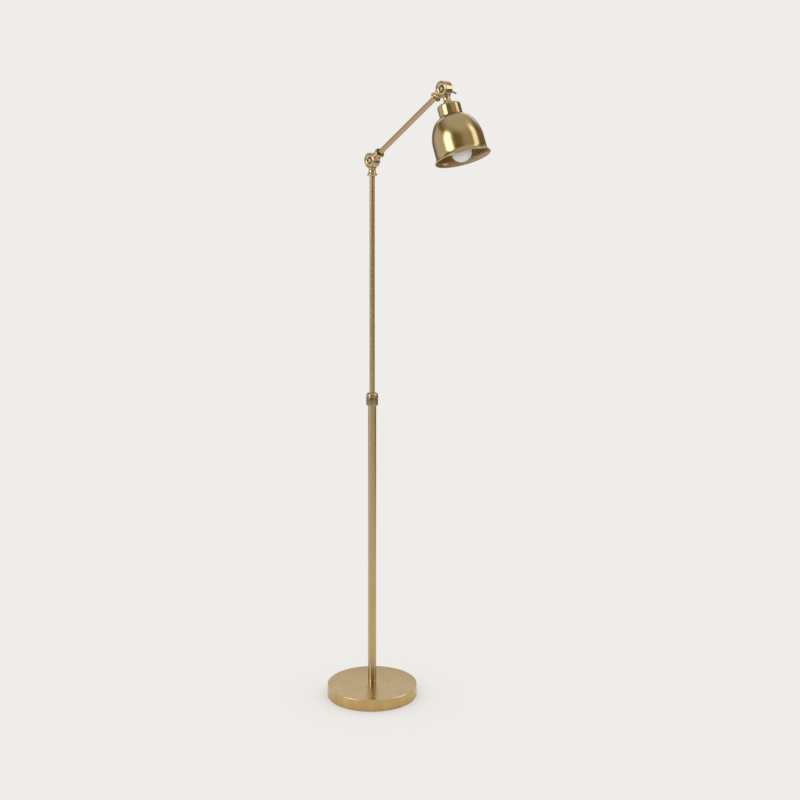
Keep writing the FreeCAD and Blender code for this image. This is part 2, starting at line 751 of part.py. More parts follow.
def make_knuckles():
    step_x, step_z = arm_step()
    tilt_height = dim.elbow_height + step_z

    knuckle_half("elbow_post_half", -1, post_neck())
    place(pieces[-1], z=dim.elbow_height)
    knuckle_half("elbow_arm_half", 1, arm_neck())
    place(pieces[-1], z=dim.elbow_height, turn=-(dim.arm_rise + 90.0))
    knuckle_half("tilt_arm_half", -1, arm_neck())
    place(pieces[-1], x=step_x, z=tilt_height, turn=-(dim.arm_rise - 90.0))

    body = knuckle_half("tilt_head_half", 1, head_neck())
    nipple_hole = new_sketch(body, "nipple_hole", "YZ_Plane")
    rectangle(nipple_hole, 0.0, -(dim.cap_top + 1.0), dim.stud_radius, -dim.nipple_high)
    turn_profile(body, "Groove", nipple_hole, "V_Axis")
    place(body, x=step_x, z=tilt_height, turn=-dim.head_lean)

    clamp("elbow", dim.elbow_wing_turn, 0.0, dim.elbow_height)
    clamp("tilt", dim.tilt_wing_turn, step_x, tilt_height)


def make_arm_tube():
    seat = dim.cup_centre + dim.cup_round - dim.cup_deep
    low, high = seat, dim.arm_length - seat
    pipe("arm_tube", dim.upper_radius, dim.upper_bore, low, high)
    place(pieces[-1], z=dim.elbow_height, turn=-(dim.arm_rise - 90.0))


def clamp(name, wing_turn, x, z):
    """What clamps a knuckle: friction washer, screw, spring washer and wing nut."""
    washer = turned_about_y(
        f"{name}_friction_washer",
        (-dim.disc_split, dim.friction_inner),
        (dim.disc_split - 0.04, dim.friction_inner),
        (dim.disc_split - 0.04, dim.friction_outer),
        (-dim.disc_split, dim.friction_outer),
    )
    place(washer, x=x, z=z)
    place(make_screw(name), x=x, z=z)
    spring = turned_about_y(
        f"{name}_spring_washer",
        (dim.recess_floor, dim.screw_radius),
        (dim.recess_floor + dim.spring_thick, dim.screw_radius),
        (dim.recess_floor + dim.spring_thick, dim.spring_outer),
        (dim.recess_floor, dim.spring_outer),
    )
    split = new_sketch(spring, f"{name}_washer_split", "XZ_Plane")
    outline(
        split,
        (-0.6, dim.screw_radius - 1.0),
        (0.6, dim.screw_radius - 1.0),
        (1.6, dim.spring_outer + 1.0),
        (0.4, dim.spring_outer + 1.0),
    )
    push(spring, "Pocket", split, 40.0, midplane=True)
    place(spring, x=x, z=z)
    place(make_wing_nut(name), x=x, z=z, turn=wing_turn)


def turned_about_y(label, *corners):
    body = new_body(label)
    sketch = new_sketch(body, f"{label}_outline", "YZ_Plane")
    outline(sketch, *corners)
    turn_profile(body, "Revolution", sketch, "H_Axis")
    return body


def make_screw(name):
    """A crowned, slotted screw whose head lies in the recess at -Y."""
    head_face = -(dim.recess_floor + dim.head_tall)
    crown = blend_radius(dim.head_crown, dim.head_radius)
    screw = turned_about_y(
        f"{name}_screw",
        (-dim.recess_floor, dim.head_radius),
        (-dim.recess_floor, dim.screw_radius),
        (dim.screw_end - 0.8, dim.screw_radius),
        (dim.screw_end, dim.screw_radius - 0.8),
        (dim.screw_end, 0.0),
        (head_face - dim.head_crown, 0.0),
        (head_face, dim.head_radius, crown, -1),
    )
    slot = new_sketch(screw, f"{name}_screw_slot", "XZ_Plane")
    half = dim.slot_wide * 0.5
    rectangle(slot, -(dim.head_radius + 1.0), -half, dim.head_radius + 1.0, half)
    slot_floor = dim.recess_floor + dim.head_tall + dim.head_crown - dim.slot_deep
    slot.AttachmentOffset = FreeCAD.Placement(
        FreeCAD.Vector(0, 0, slot_floor.value), FreeCAD.Rotation()
    )
    bind(slot, "AttachmentOffset.Base.z", slot_floor)
    push(screw, "Pocket", slot, 10.0, back=True)
    return screw


def make_wing_nut(name):
    foot = dim.recess_floor + dim.spring_thick
    bore = dim.screw_radius + dim.running_gap
    body = turned_about_y(
        f"{name}_wing_nut",
        (foot, bore),
        (foot, dim.wing_seat),
        (foot + 1.6, dim.wing_seat),
        (foot + dim.wing_hub, dim.wing_crown),
        (foot + dim.wing_hub, bore),
    )
    wing = new_sketch(body, f"{name}_wing", "XY_Plane")
    low, high = foot + dim.wing_low, foot + dim.wing_high
    root = dim.wing_crown - 0.8
    outline(
        wing,
        (root, low),
        (dim.wing_reach * 0.62, low + 2.6, 30.0, -1),
        (dim.wing_reach, high - 5.6, 16.0, 1),
        (dim.wing_reach - 4.6, high, 5.2, 1),
        (dim.wing_reach * 0.54, high - 5.0, 18.0, 1),
        (root, foot + dim.wing_hub - 0.8, 14.0, -1),
    )
    push(body, "Pad", wing, dim.wing_thick, midplane=True)
    mirror = body.newObject("PartDesign::Mirrored", f"{name}_other_wing")
    mirror.Originals = [body.Tip]
    mirror.MirrorPlane = (origin_plane(body, "YZ_Plane"), [""])
    body.Tip = mirror
    return body


# --- head --------------------------------------------------------------------------------------


def in_head(piece):
    """Places a piece that is drawn down the shade's axis from the tilt pivot."""
    step_x, step_z = arm_step()
    place(piece, x=step_x, z=dim.elbow_height + step_z, turn=-dim.head_lean)


def down(*corners):
    """Turns corners of (radius, distance down the axis) into outline corners."""
    result = []
    for corner in corners:
        rest = corner[2:]
        result.append((corner[0], -size(corner[1]), *rest))
    return result


def make_cap_and_nipple():
    inside = dim.cap_radius - dim.cap_wall
    inner_edge = dim.cap_edge - dim.cap_wall
    in_head(
        turned_piece(
            "shade_cap",
            *down(
                (dim.stud_radius, dim.cap_top),
                (dim.stud_radius, dim.cap_top + dim.cap_wall),
                (inside - inner_edge, dim.cap_top + dim.cap_wall),
                (inside, dim.cap_top + dim.cap_edge, inner_edge, -1),
                (inside, dim.shade_top),
                (dim.cap_radius, dim.shade_top),
                (dim.cap_radius, dim.cap_top + dim.cap_edge),
                (dim.cap_radius - dim.cap_edge, dim.cap_top, dim.cap_edge, 1),
            ),
        )
    )
    in_head(pipe("head_nipple", dim.stud_radius, dim.stud_bore, -dim.nipple_low, -dim.nipple_high))
    nut_low = dim.cap_top + dim.cap_wall + dim.nut_thick
    hexagon_nut("cap_locknut", dim.nut_width, dim.nut_thick)
    locknut = pieces[-1]
    step_x, step_z = arm_step()
    place(
        locknut,
        x=step_x + nut_low * sine(dim.head_lean),
        z=dim.elbow_height + step_z - nut_low * cosine(dim.head_lean),
        turn=-dim.head_lean,
    )


def make_shade():
    """The bell: crown, shoulder arc, side arc, straight part and flare, with a rolled rim."""
    wall = dim.shade_wall
    side_x = dim.bell_radius - dim.side_round
    junction_x = side_x + dim.side_round * cosine(dim.side_turn)
    junction_a = dim.bell_start - dim.side_round * sine(dim.side_turn)
    flare_x = dim.bell_radius + dim.flare_round
    lip_x = flare_x - dim.flare_round * cosine(dim.flare_turn)
    lip_a = dim.bell_stop + dim.flare_round * sine(dim.flare_turn)
    body = turned_piece(
        "shade",
        *down(
            (dim.shade_hole, dim.shade_top),
            (dim.shade_hole, dim.shade_top + wall),
            (dim.crown_radius - 0.6, dim.shade_top + wall),
            (
                junction_x - wall * cosine(dim.side_turn),
                junction_a + wall * sine(dim.side_turn),
                dim.shoulder_round - wall,
                -1,
            ),
            (dim.bell_radius - wall, dim.bell_start, dim.side_round - wall, -1),
            (dim.bell_radius - wall, dim.bell_stop),
            (
                lip_x - wall * cosine(dim.flare_turn),
                lip_a + wall * sine(dim.flare_turn),
                dim.flare_round + wall,
                1,
            ),
            (lip_x, lip_a),
            (dim.bell_radius, dim.bell_stop, dim.flare_round, -1),
            (dim.bell_radius, dim.bell_start),
            (junction_x, junction_a, dim.side_round, 1),
            (dim.crown_radius, dim.shade_top, dim.shoulder_round, 1),
        ),
    )
    rim = new_sketch(body, "rolled_rim", "XZ_Plane")
    disc(rim, lip_x, -(lip_a + 0.2), dim.rim_round)
    turn_profile(body, "Revolution", rim, "V_Axis")
    in_head(body)
    ring_low = dim.shade_top + wall
    shade_nut = pipe(
        "shade_ring",
        dim.shade_nut_radius,
        dim.skirt_radius,
        -(ring_low + dim.shade_nut_tall),
        -ring_low,
    )
    in_head(shade_nut)


def make_lampholder():
    in_head(
        turned_piece(
            "lampholder",
            *down(
                (dim.stud_radius, dim.holder_top),
                (dim.stud_radius, dim.nipple_low),
                (15.0, dim.nipple_low),
                (15.0, dim.socket_floor - 6.0),
                (dim.contact_radius, dim.socket_floor - 6.0),
                (dim.contact_radius, dim.socket_floor),
                (dim.socket_bore, dim.socket_floor),
                (dim.socket_bore, dim.skirt_low),
                (dim.skirt_radius, dim.skirt_low),
                (dim.skirt_radius, dim.shade_top),
                (dim.holder_radius, dim.shade_top),
                (dim.holder_radius, dim.holder_top + 12.0),
                (12.0, dim.holder_top + 2.0, 10.0, 1),
                (9.0, dim.holder_top + 2.0),
                (9.0, dim.holder_top),
            ),
        )
    )
    shell = pipe(
        "lampholder_shell",
        dim.socket_bore,
        dim.shell_bore,
        -(dim.skirt_low - 1.0),
        -(dim.socket_floor + 3.0),
    )
    in_head(shell)
    contact = turned_piece(
        "lampholder_contact",
        *down(
            (0.0, dim.socket_floor - 8.0),
            (dim.contact_radius + 2.0, dim.socket_floor - 8.0),
            (dim.contact_radius + 2.0, dim.socket_floor - 6.0),
            (dim.contact_radius, dim.socket_floor - 6.0),
            (dim.contact_radius, dim.bulb_contact - 0.8),
            (0.0, dim.bulb_contact),
        ),
    )
    in_head(contact)


def make_bulb():
    cup_floor = dim.bulb_contact + 8.0
    in_head(
        turned_piece(
            "bulb_cap",
            *down(
                (0.0, dim.bulb_contact),
                (0.0, cup_floor),
                (dim.bulb_cap_radius - 1.0, cup_floor),
                (dim.bulb_cap_radius - 1.0, dim.cap_rim),
                (dim.bulb_cap_radius, dim.cap_rim),
                (dim.bulb_cap_radius, dim.bulb_contact + 5.0),
                (dim.bulb_cap_radius - 2.0, dim.bulb_contact + 3.5),
                (5.0, dim.bulb_contact + 1.0),
                (4.0, dim.bulb_contact),
            ),
        )
    )
    glass = dim.bulb_wall
    stem = dim.bulb_cap_radius - 1.0
    touch_x = dim.bulb_radius * sine(dim.cone_turn)
    touch_a = dim.bulb_centre - dim.bulb_radius * cosine(dim.cone_turn)
    inner = dim.bulb_radius - glass
    inner_x = inner * sine(dim.cone_turn)
    inner_a = dim.bulb_centre - inner * cosine(dim.cone_turn)
    in_head(
        turned_piece(
            "bulb_globe",
            *down(
                (stem, cup_floor + 1.0),
                (stem, dim.cap_rim + 0.3),
                (dim.bulb_neck, dim.cap_rim + 3.5, 4.0, 1),
                (touch_x, touch_a),
                (dim.bulb_radius, dim.bulb_centre, dim.bulb_radius, -1),
                (0.0, dim.bulb_centre + dim.bulb_radius, dim.bulb_radius, -1),
                (0.0, dim.bulb_centre + inner),
                (inner, dim.bulb_centre, inner, 1),
                (inner_x, inner_a, inner, 1),
                (dim.bulb_neck - glass, dim.cap_rim + 3.8),
                (stem - glass, dim.cap_rim + 0.3),
                (stem - glass, cup_floor + 1.0),
            ),
        )
    )


# --- checks and files --------------------------------------------------------------------------


def check_document():
    for thing in doc.Objects:
        if "Invalid" in thing.State or "Error" in thing.State:
            raise RuntimeError(f"{thing.Label}: {thing.State}")
    for piece in pieces:
        shape = piece.Shape
        if shape.isNull() or not shape.isValid():
            raise RuntimeError(f"{piece.Label}: no valid shape")
        if len(shape.Solids) != 1:
            raise RuntimeError(f"{piece.Label}: {len(shape.Solids)} solids")


def write_files():
    os.makedirs("parts", exist_ok=True)
    for piece in pieces:
        piece.Shape.exportStep(f"parts/{piece.Label}.step")
        print(f"{piece.Label}: {piece.Shape.Volume:.0f} cubic mm")


fill_sheet()
make_base_cover()
make_base_weight()
make_base_pad()
make_cord_outlet()
make_stud_and_nut()
make_lower_post()
make_top_ferrule()
make_locking_nut()
make_upper_post()
make_knuckles()
make_arm_tube()
make_cap_and_nipple()
make_shade()
make_lampholder()
make_bulb()
doc.recompute()
check_document()
write_files()
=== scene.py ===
import math

import bmesh
import bpy
from mathutils import Matrix, Vector


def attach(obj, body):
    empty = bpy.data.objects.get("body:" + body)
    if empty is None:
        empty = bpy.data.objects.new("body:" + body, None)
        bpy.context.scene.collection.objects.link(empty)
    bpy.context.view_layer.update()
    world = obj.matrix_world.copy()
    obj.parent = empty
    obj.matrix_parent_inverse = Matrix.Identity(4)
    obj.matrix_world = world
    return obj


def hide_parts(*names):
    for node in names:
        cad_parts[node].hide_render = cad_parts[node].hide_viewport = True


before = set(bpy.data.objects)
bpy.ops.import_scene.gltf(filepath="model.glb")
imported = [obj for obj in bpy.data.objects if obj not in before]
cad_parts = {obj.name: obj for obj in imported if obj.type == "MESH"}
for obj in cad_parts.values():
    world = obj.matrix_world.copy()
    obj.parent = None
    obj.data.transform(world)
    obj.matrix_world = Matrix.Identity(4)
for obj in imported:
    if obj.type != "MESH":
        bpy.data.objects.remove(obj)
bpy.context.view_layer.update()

# A bridge floor lamp in satin and antique brass, on a pale floor.
# Sizes are in millimetres and repeat the part's own; meshes are made in metres, in the lamp's frame:
# origin under the base, +Z up the post, the arm leaning out over +X.

BASE_RADIUS = 120.0
BASE_TOP = 30.5
COVER_LIFT = 1.0
COVER_WALL = 1.5
COVER_EDGE = 2.0
OUTLET_HEIGHT = 10.0
OUTLET_NECK = 5.0
STUD_RADIUS = 5.0
FOOT_RADIUS = 10.8
FOOT_TOP = 40.0
LOWER_RADIUS = 11.0
LOWER_BORE = 9.5
LOWER_TOP = 786.0
UPPER_RADIUS = 7.0
UPPER_BORE = 5.8
UPPER_LOW = 691.0
UPPER_TOP = 1398.6
COLLAR_LOW = 779.0
COLLAR_RADIUS = 16.2
COLLAR_TALL = 35.0
COLLAR_ROUND = 2.4
COLLAR_THREAD = 12.55
COLLAR_THREAD_TOP = 22.0
COLLAR_PASSAGE = 7.3
KNURL_TALL = 24.0
KNURL_DEEP = 0.55
KNURL_RIDGES = 48
DOME_RADIUS = 8.0
ELBOW_HEIGHT = 1440.8
ARM_LENGTH = 337.0
ARM_RISE = 33.7
ARM_SEAT = 37.3
HEAD_LEAN = 21.4
CAP_TOP = 43.3
CAP_RADIUS = 30.1
CAP_WALL = 1.6
CAP_EDGE = 6.0
SHADE_TOP = 75.1
SHADE_WALL = 1.2
SHADE_HOLE = 19.7
CROWN_RADIUS = 28.6
BELL_RADIUS = 66.2
BELL_START = 145.3
BELL_STOP = 173.3
SIDE_ROUND = 98.0
SIDE_TURN = 25.5
SHOULDER_ROUND = 53.5
FLARE_ROUND = 27.0
FLARE_TURN = 33.0
RIM_ROUND = 1.7
BULB_CONTACT = 94.8
BULB_CAP_RIM = 120.8
BULB_STEM = 12.1
BULB_NECK = 13.7
BULB_RADIUS = 27.5
BULB_CENTRE = 171.3
BULB_WALL = 1.0
BULB_CONE_TURN = 71.7

MM = 0.001
ELBOW = Vector((0.0, 0.0, ELBOW_HEIGHT * MM))
UPRIGHT = Matrix.Identity(4)
ALONG_ARM = Matrix.Translation(ELBOW) @ Matrix.Rotation(math.radians(90.0 - ARM_RISE), 4, "Y")
TILT = ALONG_ARM @ Vector((0.0, 0.0, ARM_LENGTH * MM))
IN_HEAD = Matrix.Translation(TILT) @ Matrix.Rotation(math.radians(-HEAD_LEAN), 4, "Y")
ARM_AXIS = ALONG_ARM.to_3x3() @ Vector((0, 0, 1))
HEAD_AXIS = IN_HEAD.to_3x3() @ Vector((0, 0, -1))


# --- node helpers ------------------------------------------------------------------------------


class Graph:
    """Nodes of one tree, added and joined in one call each."""

    def __init__(self, tree):
        self.tree = tree

    def add(self, kind, inputs=None, **settings):
        node = self.tree.nodes.new(kind)
        for name, value in settings.items():
            setattr(node, name, value)
        for name, value in (inputs or {}).items():
            self.feed(node.inputs[name], value)
        return node

    def feed(self, socket, value):
        if isinstance(value, bpy.types.NodeSocket):
            self.tree.links.new(value, socket)
        else:
            socket.default_value = value

    def math(self, operation, *values, clamp=False):
        node = self.add("ShaderNodeMath", operation=operation, use_clamp=clamp)
        for socket, value in zip(node.inputs, values):
            self.feed(socket, value)
        return node.outputs[0]

    def vector(self, operation, *values):
        node = self.add("ShaderNodeVectorMath", operation=operation)
        for socket, value in zip(node.inputs, values):
            self.feed(socket, value)
        return node.outputs["Value"] if operation in ("LENGTH", "DOT_PRODUCT") else node.outputs[0]

    def remap(self, value, low, high, new_low=0.0, new_high=1.0, soft=False):
        node = self.add("ShaderNodeMapRange", interpolation_type="SMOOTHSTEP" if soft else "LINEAR")
        for name, number in (
            ("Value", value),
            ("From Min", low),
            ("From Max", high),
            ("To Min", new_low),
            ("To Max", new_high),
        ):
            self.feed(node.inputs[name], number)
        return node.outputs[0]

    def mix(self, factor, first, second):
        node = self.add("ShaderNodeMix", data_type="RGBA")
        self.feed(node.inputs["Factor"], factor)
        self.feed(node.inputs[6], first)
        self.feed(node.inputs[7], second)
        return node.outputs[2]

    def noise(self, vector, scale, detail=2.0, roughness=0.5):
        node = self.add("ShaderNodeTexNoise", {"Vector": vector, "Scale": scale, "Detail": detail})
        node.inputs["Roughness"].default_value = roughness
        return node.outputs[0]


def new_group(name, inputs, outputs):
    """A shader node group with named sockets; returns it with its graph and its two ends."""
    group = bpy.data.node_groups.new(name, "ShaderNodeTree")
    for label, kind, default in inputs:
        socket = group.interface.new_socket(label, in_out="INPUT", socket_type=kind)
        if default is not None:
            socket.default_value = default
    for label, kind in outputs:
        group.interface.new_socket(label, in_out="OUTPUT", socket_type=kind)
    graph = Graph(group)
    return group, graph, graph.add("NodeGroupInput"), graph.add("NodeGroupOutput")


# --- effects shared by the finishes ------------------------------------------------------------


def spun_grain():
    """Fine rings left on a turned or spun piece, round the Z axis of its vector."""
    group, graph, start, end = new_group(
        "spun_grain",
        [("Vector", "NodeSocketVector", None), ("Pitch", "NodeSocketFloat", 900.0)],
        [("Height", "NodeSocketFloat"), ("Streak", "NodeSocketFloat")],
    )
    parts = graph.add("ShaderNodeSeparateXYZ", {"Vector": start.outputs["Vector"]})
    flat = graph.add("ShaderNodeCombineXYZ", {"X": parts.outputs["X"], "Y": parts.outputs["Y"]})
    radius = graph.vector("LENGTH", flat.outputs[0])
    drift = graph.math("MULTIPLY", parts.outputs["X"], 0.02)
    rings = graph.add(
        "ShaderNodeCombineXYZ", {"X": radius, "Y": drift, "Z": parts.outputs["Z"]}
    )
    fine = graph.noise(rings.outputs[0], start.outputs["Pitch"], 3.0)
    wide = graph.noise(rings.outputs[0], graph.math("MULTIPLY", start.outputs["Pitch"], 0.16), 2.0)
    graph.feed(end.inputs["Height"], fine)
    graph.feed(end.inputs["Streak"], graph.remap(wide, 0.3, 0.7))
    return group


def drawn_grain():
    """Fine lines left along a drawn tube, along the Z axis of its vector."""
    group, graph, start, end = new_group(
        "drawn_grain",
        [("Vector", "NodeSocketVector", None), ("Lines", "NodeSocketFloat", 26.0)],
        [("Height", "NodeSocketFloat"), ("Streak", "NodeSocketFloat")],
    )
    parts = graph.add("ShaderNodeSeparateXYZ", {"Vector": start.outputs["Vector"]})
    flat = graph.add("ShaderNodeCombineXYZ", {"X": parts.outputs["X"], "Y": parts.outputs["Y"]})
    around = graph.vector("NORMALIZE", flat.outputs[0])
    along = graph.add(
        "ShaderNodeCombineXYZ", {"Z": graph.math("MULTIPLY", parts.outputs["Z"], 0.35)}
    )
    lines = graph.vector("ADD", around, along.outputs[0])
    fine = graph.noise(lines, start.outputs["Lines"], 3.0)
    wide = graph.noise(lines, graph.math("MULTIPLY", start.outputs["Lines"], 0.2), 2.0)
    graph.feed(end.inputs["Height"], fine)
    graph.feed(end.inputs["Streak"], graph.remap(wide, 0.3, 0.7))
    return group


def tarnish():
    """Cloudy darkening of lacquered metal, with a few fine specks."""
    group, graph, start, end = new_group(
        "tarnish",
        [
            ("Vector", "NodeSocketVector", None),
            ("Clean", "NodeSocketColor", None),
            ("Dull", "NodeSocketColor", None),
            ("Cloud", "NodeSocketFloat", 14.0),
            ("Specks", "NodeSocketFloat", 0.1),
        ],
        [("Color", "NodeSocketColor"), ("Mask", "NodeSocketFloat")],
    )
    vector = start.outputs["Vector"]
    clouds = graph.noise(vector, start.outputs["Cloud"], 4.0, 0.6)
    specks = graph.noise(vector, graph.math("MULTIPLY", start.outputs["Cloud"], 22.0), 2.0)
    cloudy = graph.remap(clouds, 0.25, 0.75, 0.0, 0.8, soft=True)
    speckled = graph.remap(specks, 0.62, 0.8, 0.0, start.outputs["Specks"], soft=True)
    mask = graph.math("ADD", cloudy, speckled, clamp=True)
    graph.feed(end.inputs["Mask"], mask)
    graph.feed(
        end.inputs["Color"], graph.mix(mask, start.outputs["Clean"], start.outputs["Dull"])
    )
    return group


def edge_rub():
    """Where edges are worn bright: the surface's normal against its softened one."""
    group, graph, start, end = new_group(
        "edge_rub",
        [
            ("Vector", "NodeSocketVector", None),
            ("Reach", "NodeSocketFloat", 0.0012),
        ],
        [("Mask", "NodeSocketFloat")],
    )
    soft = graph.add("ShaderNodeBevel", {"Radius": start.outputs["Reach"]}, samples=4)
    true = graph.add("ShaderNodeNewGeometry")
    same = graph.vector("DOT_PRODUCT", soft.outputs[0], true.outputs["Normal"])
    edge = graph.remap(same, 0.985, 0.86)
    broken = graph.remap(graph.noise(start.outputs["Vector"], 260.0, 3.0), 0.35, 0.65, 0.35, 1.0)
    graph.feed(end.inputs["Mask"], graph.math("MULTIPLY", edge, broken, clamp=True))
    return group


def handling_marks():
    """Faint handling marks that change how sharply a surface reflects."""
    group, graph, start, end = new_group(
        "handling_marks",
        [
            ("Vector", "NodeSocketVector", None),
            ("Smooth", "NodeSocketFloat", 0.2),
            ("Rough", "NodeSocketFloat", 0.3),
        ],
        [("Roughness", "NodeSocketFloat")],
    )
    smears = graph.noise(start.outputs["Vector"], 38.0, 5.0, 0.62)
    graph.feed(
        end.inputs["Roughness"],
        graph.remap(smears, 0.3, 0.7, start.outputs["Smooth"], start.outputs["Rough"]),
    )
    return group


SPUN = spun_grain()
DRAWN = drawn_grain()
TARNISH = tarnish()
RUBBED = edge_rub()
MARKS = handling_marks()


# --- finishes ----------------------------------------------------------------------------------


def new_material(name):
    material = bpy.data.materials.new(name)
    material.use_nodes = True
    graph = Graph(material.node_tree)
    shader = material.node_tree.nodes["Principled BSDF"]
    return material, graph, shader


def place_pattern(graph, where):
    """Object coordinates brought into a piece's own frame, with its axis along Z."""
    coordinates = graph.add("ShaderNodeTexCoord").outputs["Object"]
    back = where.inverted()
    turned = graph.add(
        "ShaderNodeMapping",
        {"Vector": coordinates, "Rotation": back.to_euler(), "Location": back.to_translation()},
        vector_type="POINT",
    )
    return turned.outputs[0]


def use(graph, group, **inputs):
    node = graph.add("ShaderNodeGroup", node_tree=group)
    for name, value in inputs.items():
        graph.feed(node.inputs[name], value)
    return node


def brass(name, where, look, grain, pitch, depth, local_finish=None):
    """A brass finish: tarnish, grain, worn edges and handling marks over one metal."""
    material, graph, shader = new_material(name)
    vector = place_pattern(graph, where)
    lines = use(graph, grain, Vector=vector)
    graph.feed(lines.inputs[1], pitch)
    colour = use(
        graph, TARNISH, Vector=vector, Clean=look["clean"], Dull=look["dull"], Cloud=look["cloud"]
    )
    brightened_edge = use(graph, RUBBED, Vector=vector)
    marks = use(graph, MARKS, Vector=vector, Smooth=look["smooth"], Rough=look["rough"])
    streaked = graph.mix(
        graph.math("MULTIPLY", lines.outputs["Streak"], 0.2), colour.outputs["Color"], look["dull"]
    )
    finish = graph.mix(graph.math("MULTIPLY", brightened_edge.outputs["Mask"], 0.7), streaked, look["bright"])
    roughness = marks.outputs["Roughness"]
    if local_finish:
        finish, roughness = local_finish(graph, vector, finish, roughness)
    bump = graph.add(
        "ShaderNodeBump", {"Strength": 0.35, "Distance": depth, "Height": lines.outputs["Height"]}
    )
    graph.feed(shader.inputs["Base Color"], finish)
    graph.feed(shader.inputs["Roughness"], roughness)
    graph.feed(shader.inputs["Normal"], bump.outputs[0])
    shader.inputs["Metallic"].default_value = 1.0
    shader.inputs["Coat Weight"].default_value = look["coat"]
    shader.inputs["Coat Roughness"].default_value = 0.12
    shader.inputs["Coat IOR"].default_value = look["coat_ior"]
    return material


SATIN = dict(
    clean=(0.540, 0.395, 0.195, 1), dull=(0.500, 0.358, 0.170, 1), bright=(0.66, 0.51, 0.31, 1),
    smooth=0.26, rough=0.34, coat=0.3, coat_ior=1.8, cloud=9.0,
)
ANTIQUE = dict(
    clean=(0.490, 0.355, 0.124, 1), dull=(0.410, 0.284, 0.082, 1), bright=(0.66, 0.51, 0.29, 1),
    smooth=0.18, rough=0.25, coat=1.0, coat_ior=2.1, cloud=16.0,
)
KNURLED = dict(
    clean=(0.320, 0.225, 0.080, 1), dull=(0.255, 0.175, 0.057, 1), bright=(0.50, 0.37, 0.17, 1),
    smooth=0.26, rough=0.36, coat=0.15, coat_ior=1.6, cloud=40.0,
)
POLISHED = dict(
    clean=(0.600, 0.445, 0.215, 1), dull=(0.500, 0.355, 0.150, 1), bright=(0.80, 0.65, 0.40, 1),
    smooth=0.08, rough=0.14, coat=1.0, coat_ior=1.9, cloud=30.0,
)


def band(graph, value, low, high, soft):
    """One between low and high, zero outside, in metres given as millimetres."""
    rise = graph.remap(value, (low - soft) * MM, (low + soft) * MM, soft=True)
    fall = graph.remap(value, (high - soft) * MM, (high + soft) * MM, 1.0, 0.0, soft=True)
    return graph.math("MULTIPLY", rise, fall)


def facing_axis(graph, origin, axis):
    """How far the surface faces away from an axis, -1 for the inside of a bore."""
    normal = graph.add("ShaderNodeNewGeometry").outputs["True Normal"]
    coordinates = graph.add("ShaderNodeTexCoord").outputs["Object"]
    arm = graph.vector("SUBTRACT", coordinates, tuple(origin))
    along = graph.vector("DOT_PRODUCT", arm, tuple(axis))
    spine = graph.add("ShaderNodeVectorMath", operation="SCALE")
    graph.feed(spine.inputs[0], tuple(axis))
    graph.feed(spine.inputs["Scale"], along)
    outward = graph.vector("NORMALIZE", graph.vector("SUBTRACT", arm, spine.outputs[0]))
    return graph.vector("DOT_PRODUCT", outward, normal)


def bell_inside_and_painted_shade(graph, vector, finish, roughness):
    """Brushed, rougher and browner inside, the inside lightened as painted light; painted shade
    inside the flare and on the shoulder under the cap.
    """
    # rougher inside, and its lighter brown there is painted light standing in for light bouncing
    # round inside the bell
    inside = graph.remap(facing_axis(graph, TILT, HEAD_AXIS), -0.05, -0.3)
    finish = graph.mix(inside, finish, (0.66, 0.46, 0.18, 1))
    depth = graph.add("ShaderNodeSeparateXYZ", {"Vector": vector}).outputs["Z"]
    # painted shadow: dark brown on the shoulder under the cap's edge, fading out over 15 mm below it
    cap_shadow = graph.remap(depth, -(SHADE_TOP + 15.0) * MM, -SHADE_TOP * MM, 0.0, 0.95, soft=True)
    finish = graph.mix(cap_shadow, finish, (0.15, 0.090, 0.030, 1))
    # painted shade: inside the flare, darker towards the rim
    flare_shade = graph.remap(depth, -BELL_STOP * MM, -(BELL_STOP + 7.0) * MM, 0.0, 0.75)
    finish = graph.mix(graph.math("MULTIPLY", flare_shade, inside), finish, (0.36, 0.235, 0.085, 1))
    return finish, graph.math("MAXIMUM", roughness, graph.math("MULTIPLY", inside, 0.5))


def base_wall(graph, vector, finish, roughness):
    """The wall of the base cover is tinted a deeper gold than its top as a painted reflection, and
    its corner carries a painted highlight.
    """
    height = graph.add("ShaderNodeSeparateXYZ", {"Vector": vector}).outputs["Z"]
    flat = graph.vector("MULTIPLY", vector, (1.0, 1.0, 0.0))
    # painted reflection: the wall's deeper gold, in random bands between two golds
    bands = graph.remap(graph.noise(flat, 26.0, 1.0), 0.35, 0.65)
    gold = graph.mix(bands, (0.60, 0.425, 0.165, 1), (0.54, 0.36, 0.14, 1))
    wall = graph.remap(height, (BASE_TOP - 0.2) * MM, (BASE_TOP - COVER_EDGE) * MM)
    finish = graph.mix(wall, finish, gold)
    # painted highlight: a pale band round the top corner of the wall
    reach = graph.vector("LENGTH", flat)
    outside = graph.remap(reach, (BASE_RADIUS - 1.7) * MM, (BASE_RADIUS - 1.3) * MM, 0.0, 0.85)
    corner = band(graph, height, BASE_TOP - 1.3, BASE_TOP - 0.1, 0.4)
    brightened_edge = graph.math("MULTIPLY", corner, outside)
    return graph.mix(brightened_edge, finish, (0.93, 0.80, 0.58, 1)), roughness


def nut_darker_below_dome(graph, vector, finish, roughness):
    """Under its dome the locking nut is darker, in the brown of its knurl."""
    height = graph.add("ShaderNodeSeparateXYZ", {"Vector": vector}).outputs["Z"]
    dome = COLLAR_LOW + COLLAR_TALL - DOME_RADIUS
    dark = graph.remap(height, (dome + 1.0) * MM, (dome - 1.5) * MM, soft=True)
    return graph.mix(dark, finish, (0.33, 0.235, 0.085, 1)), roughness


def satin(name, where, grain, pitch, depth=0.00002, local_finish=None):
    return brass(name, where, SATIN, grain, pitch, depth, local_finish)


def antique(name, where, local_finish=None):
    return brass(name, where, ANTIQUE, SPUN, 700.0, 0.00003, local_finish)


def knurled(name, where):
    return brass(name, where, KNURLED, SPUN, 900.0, 0.00003)


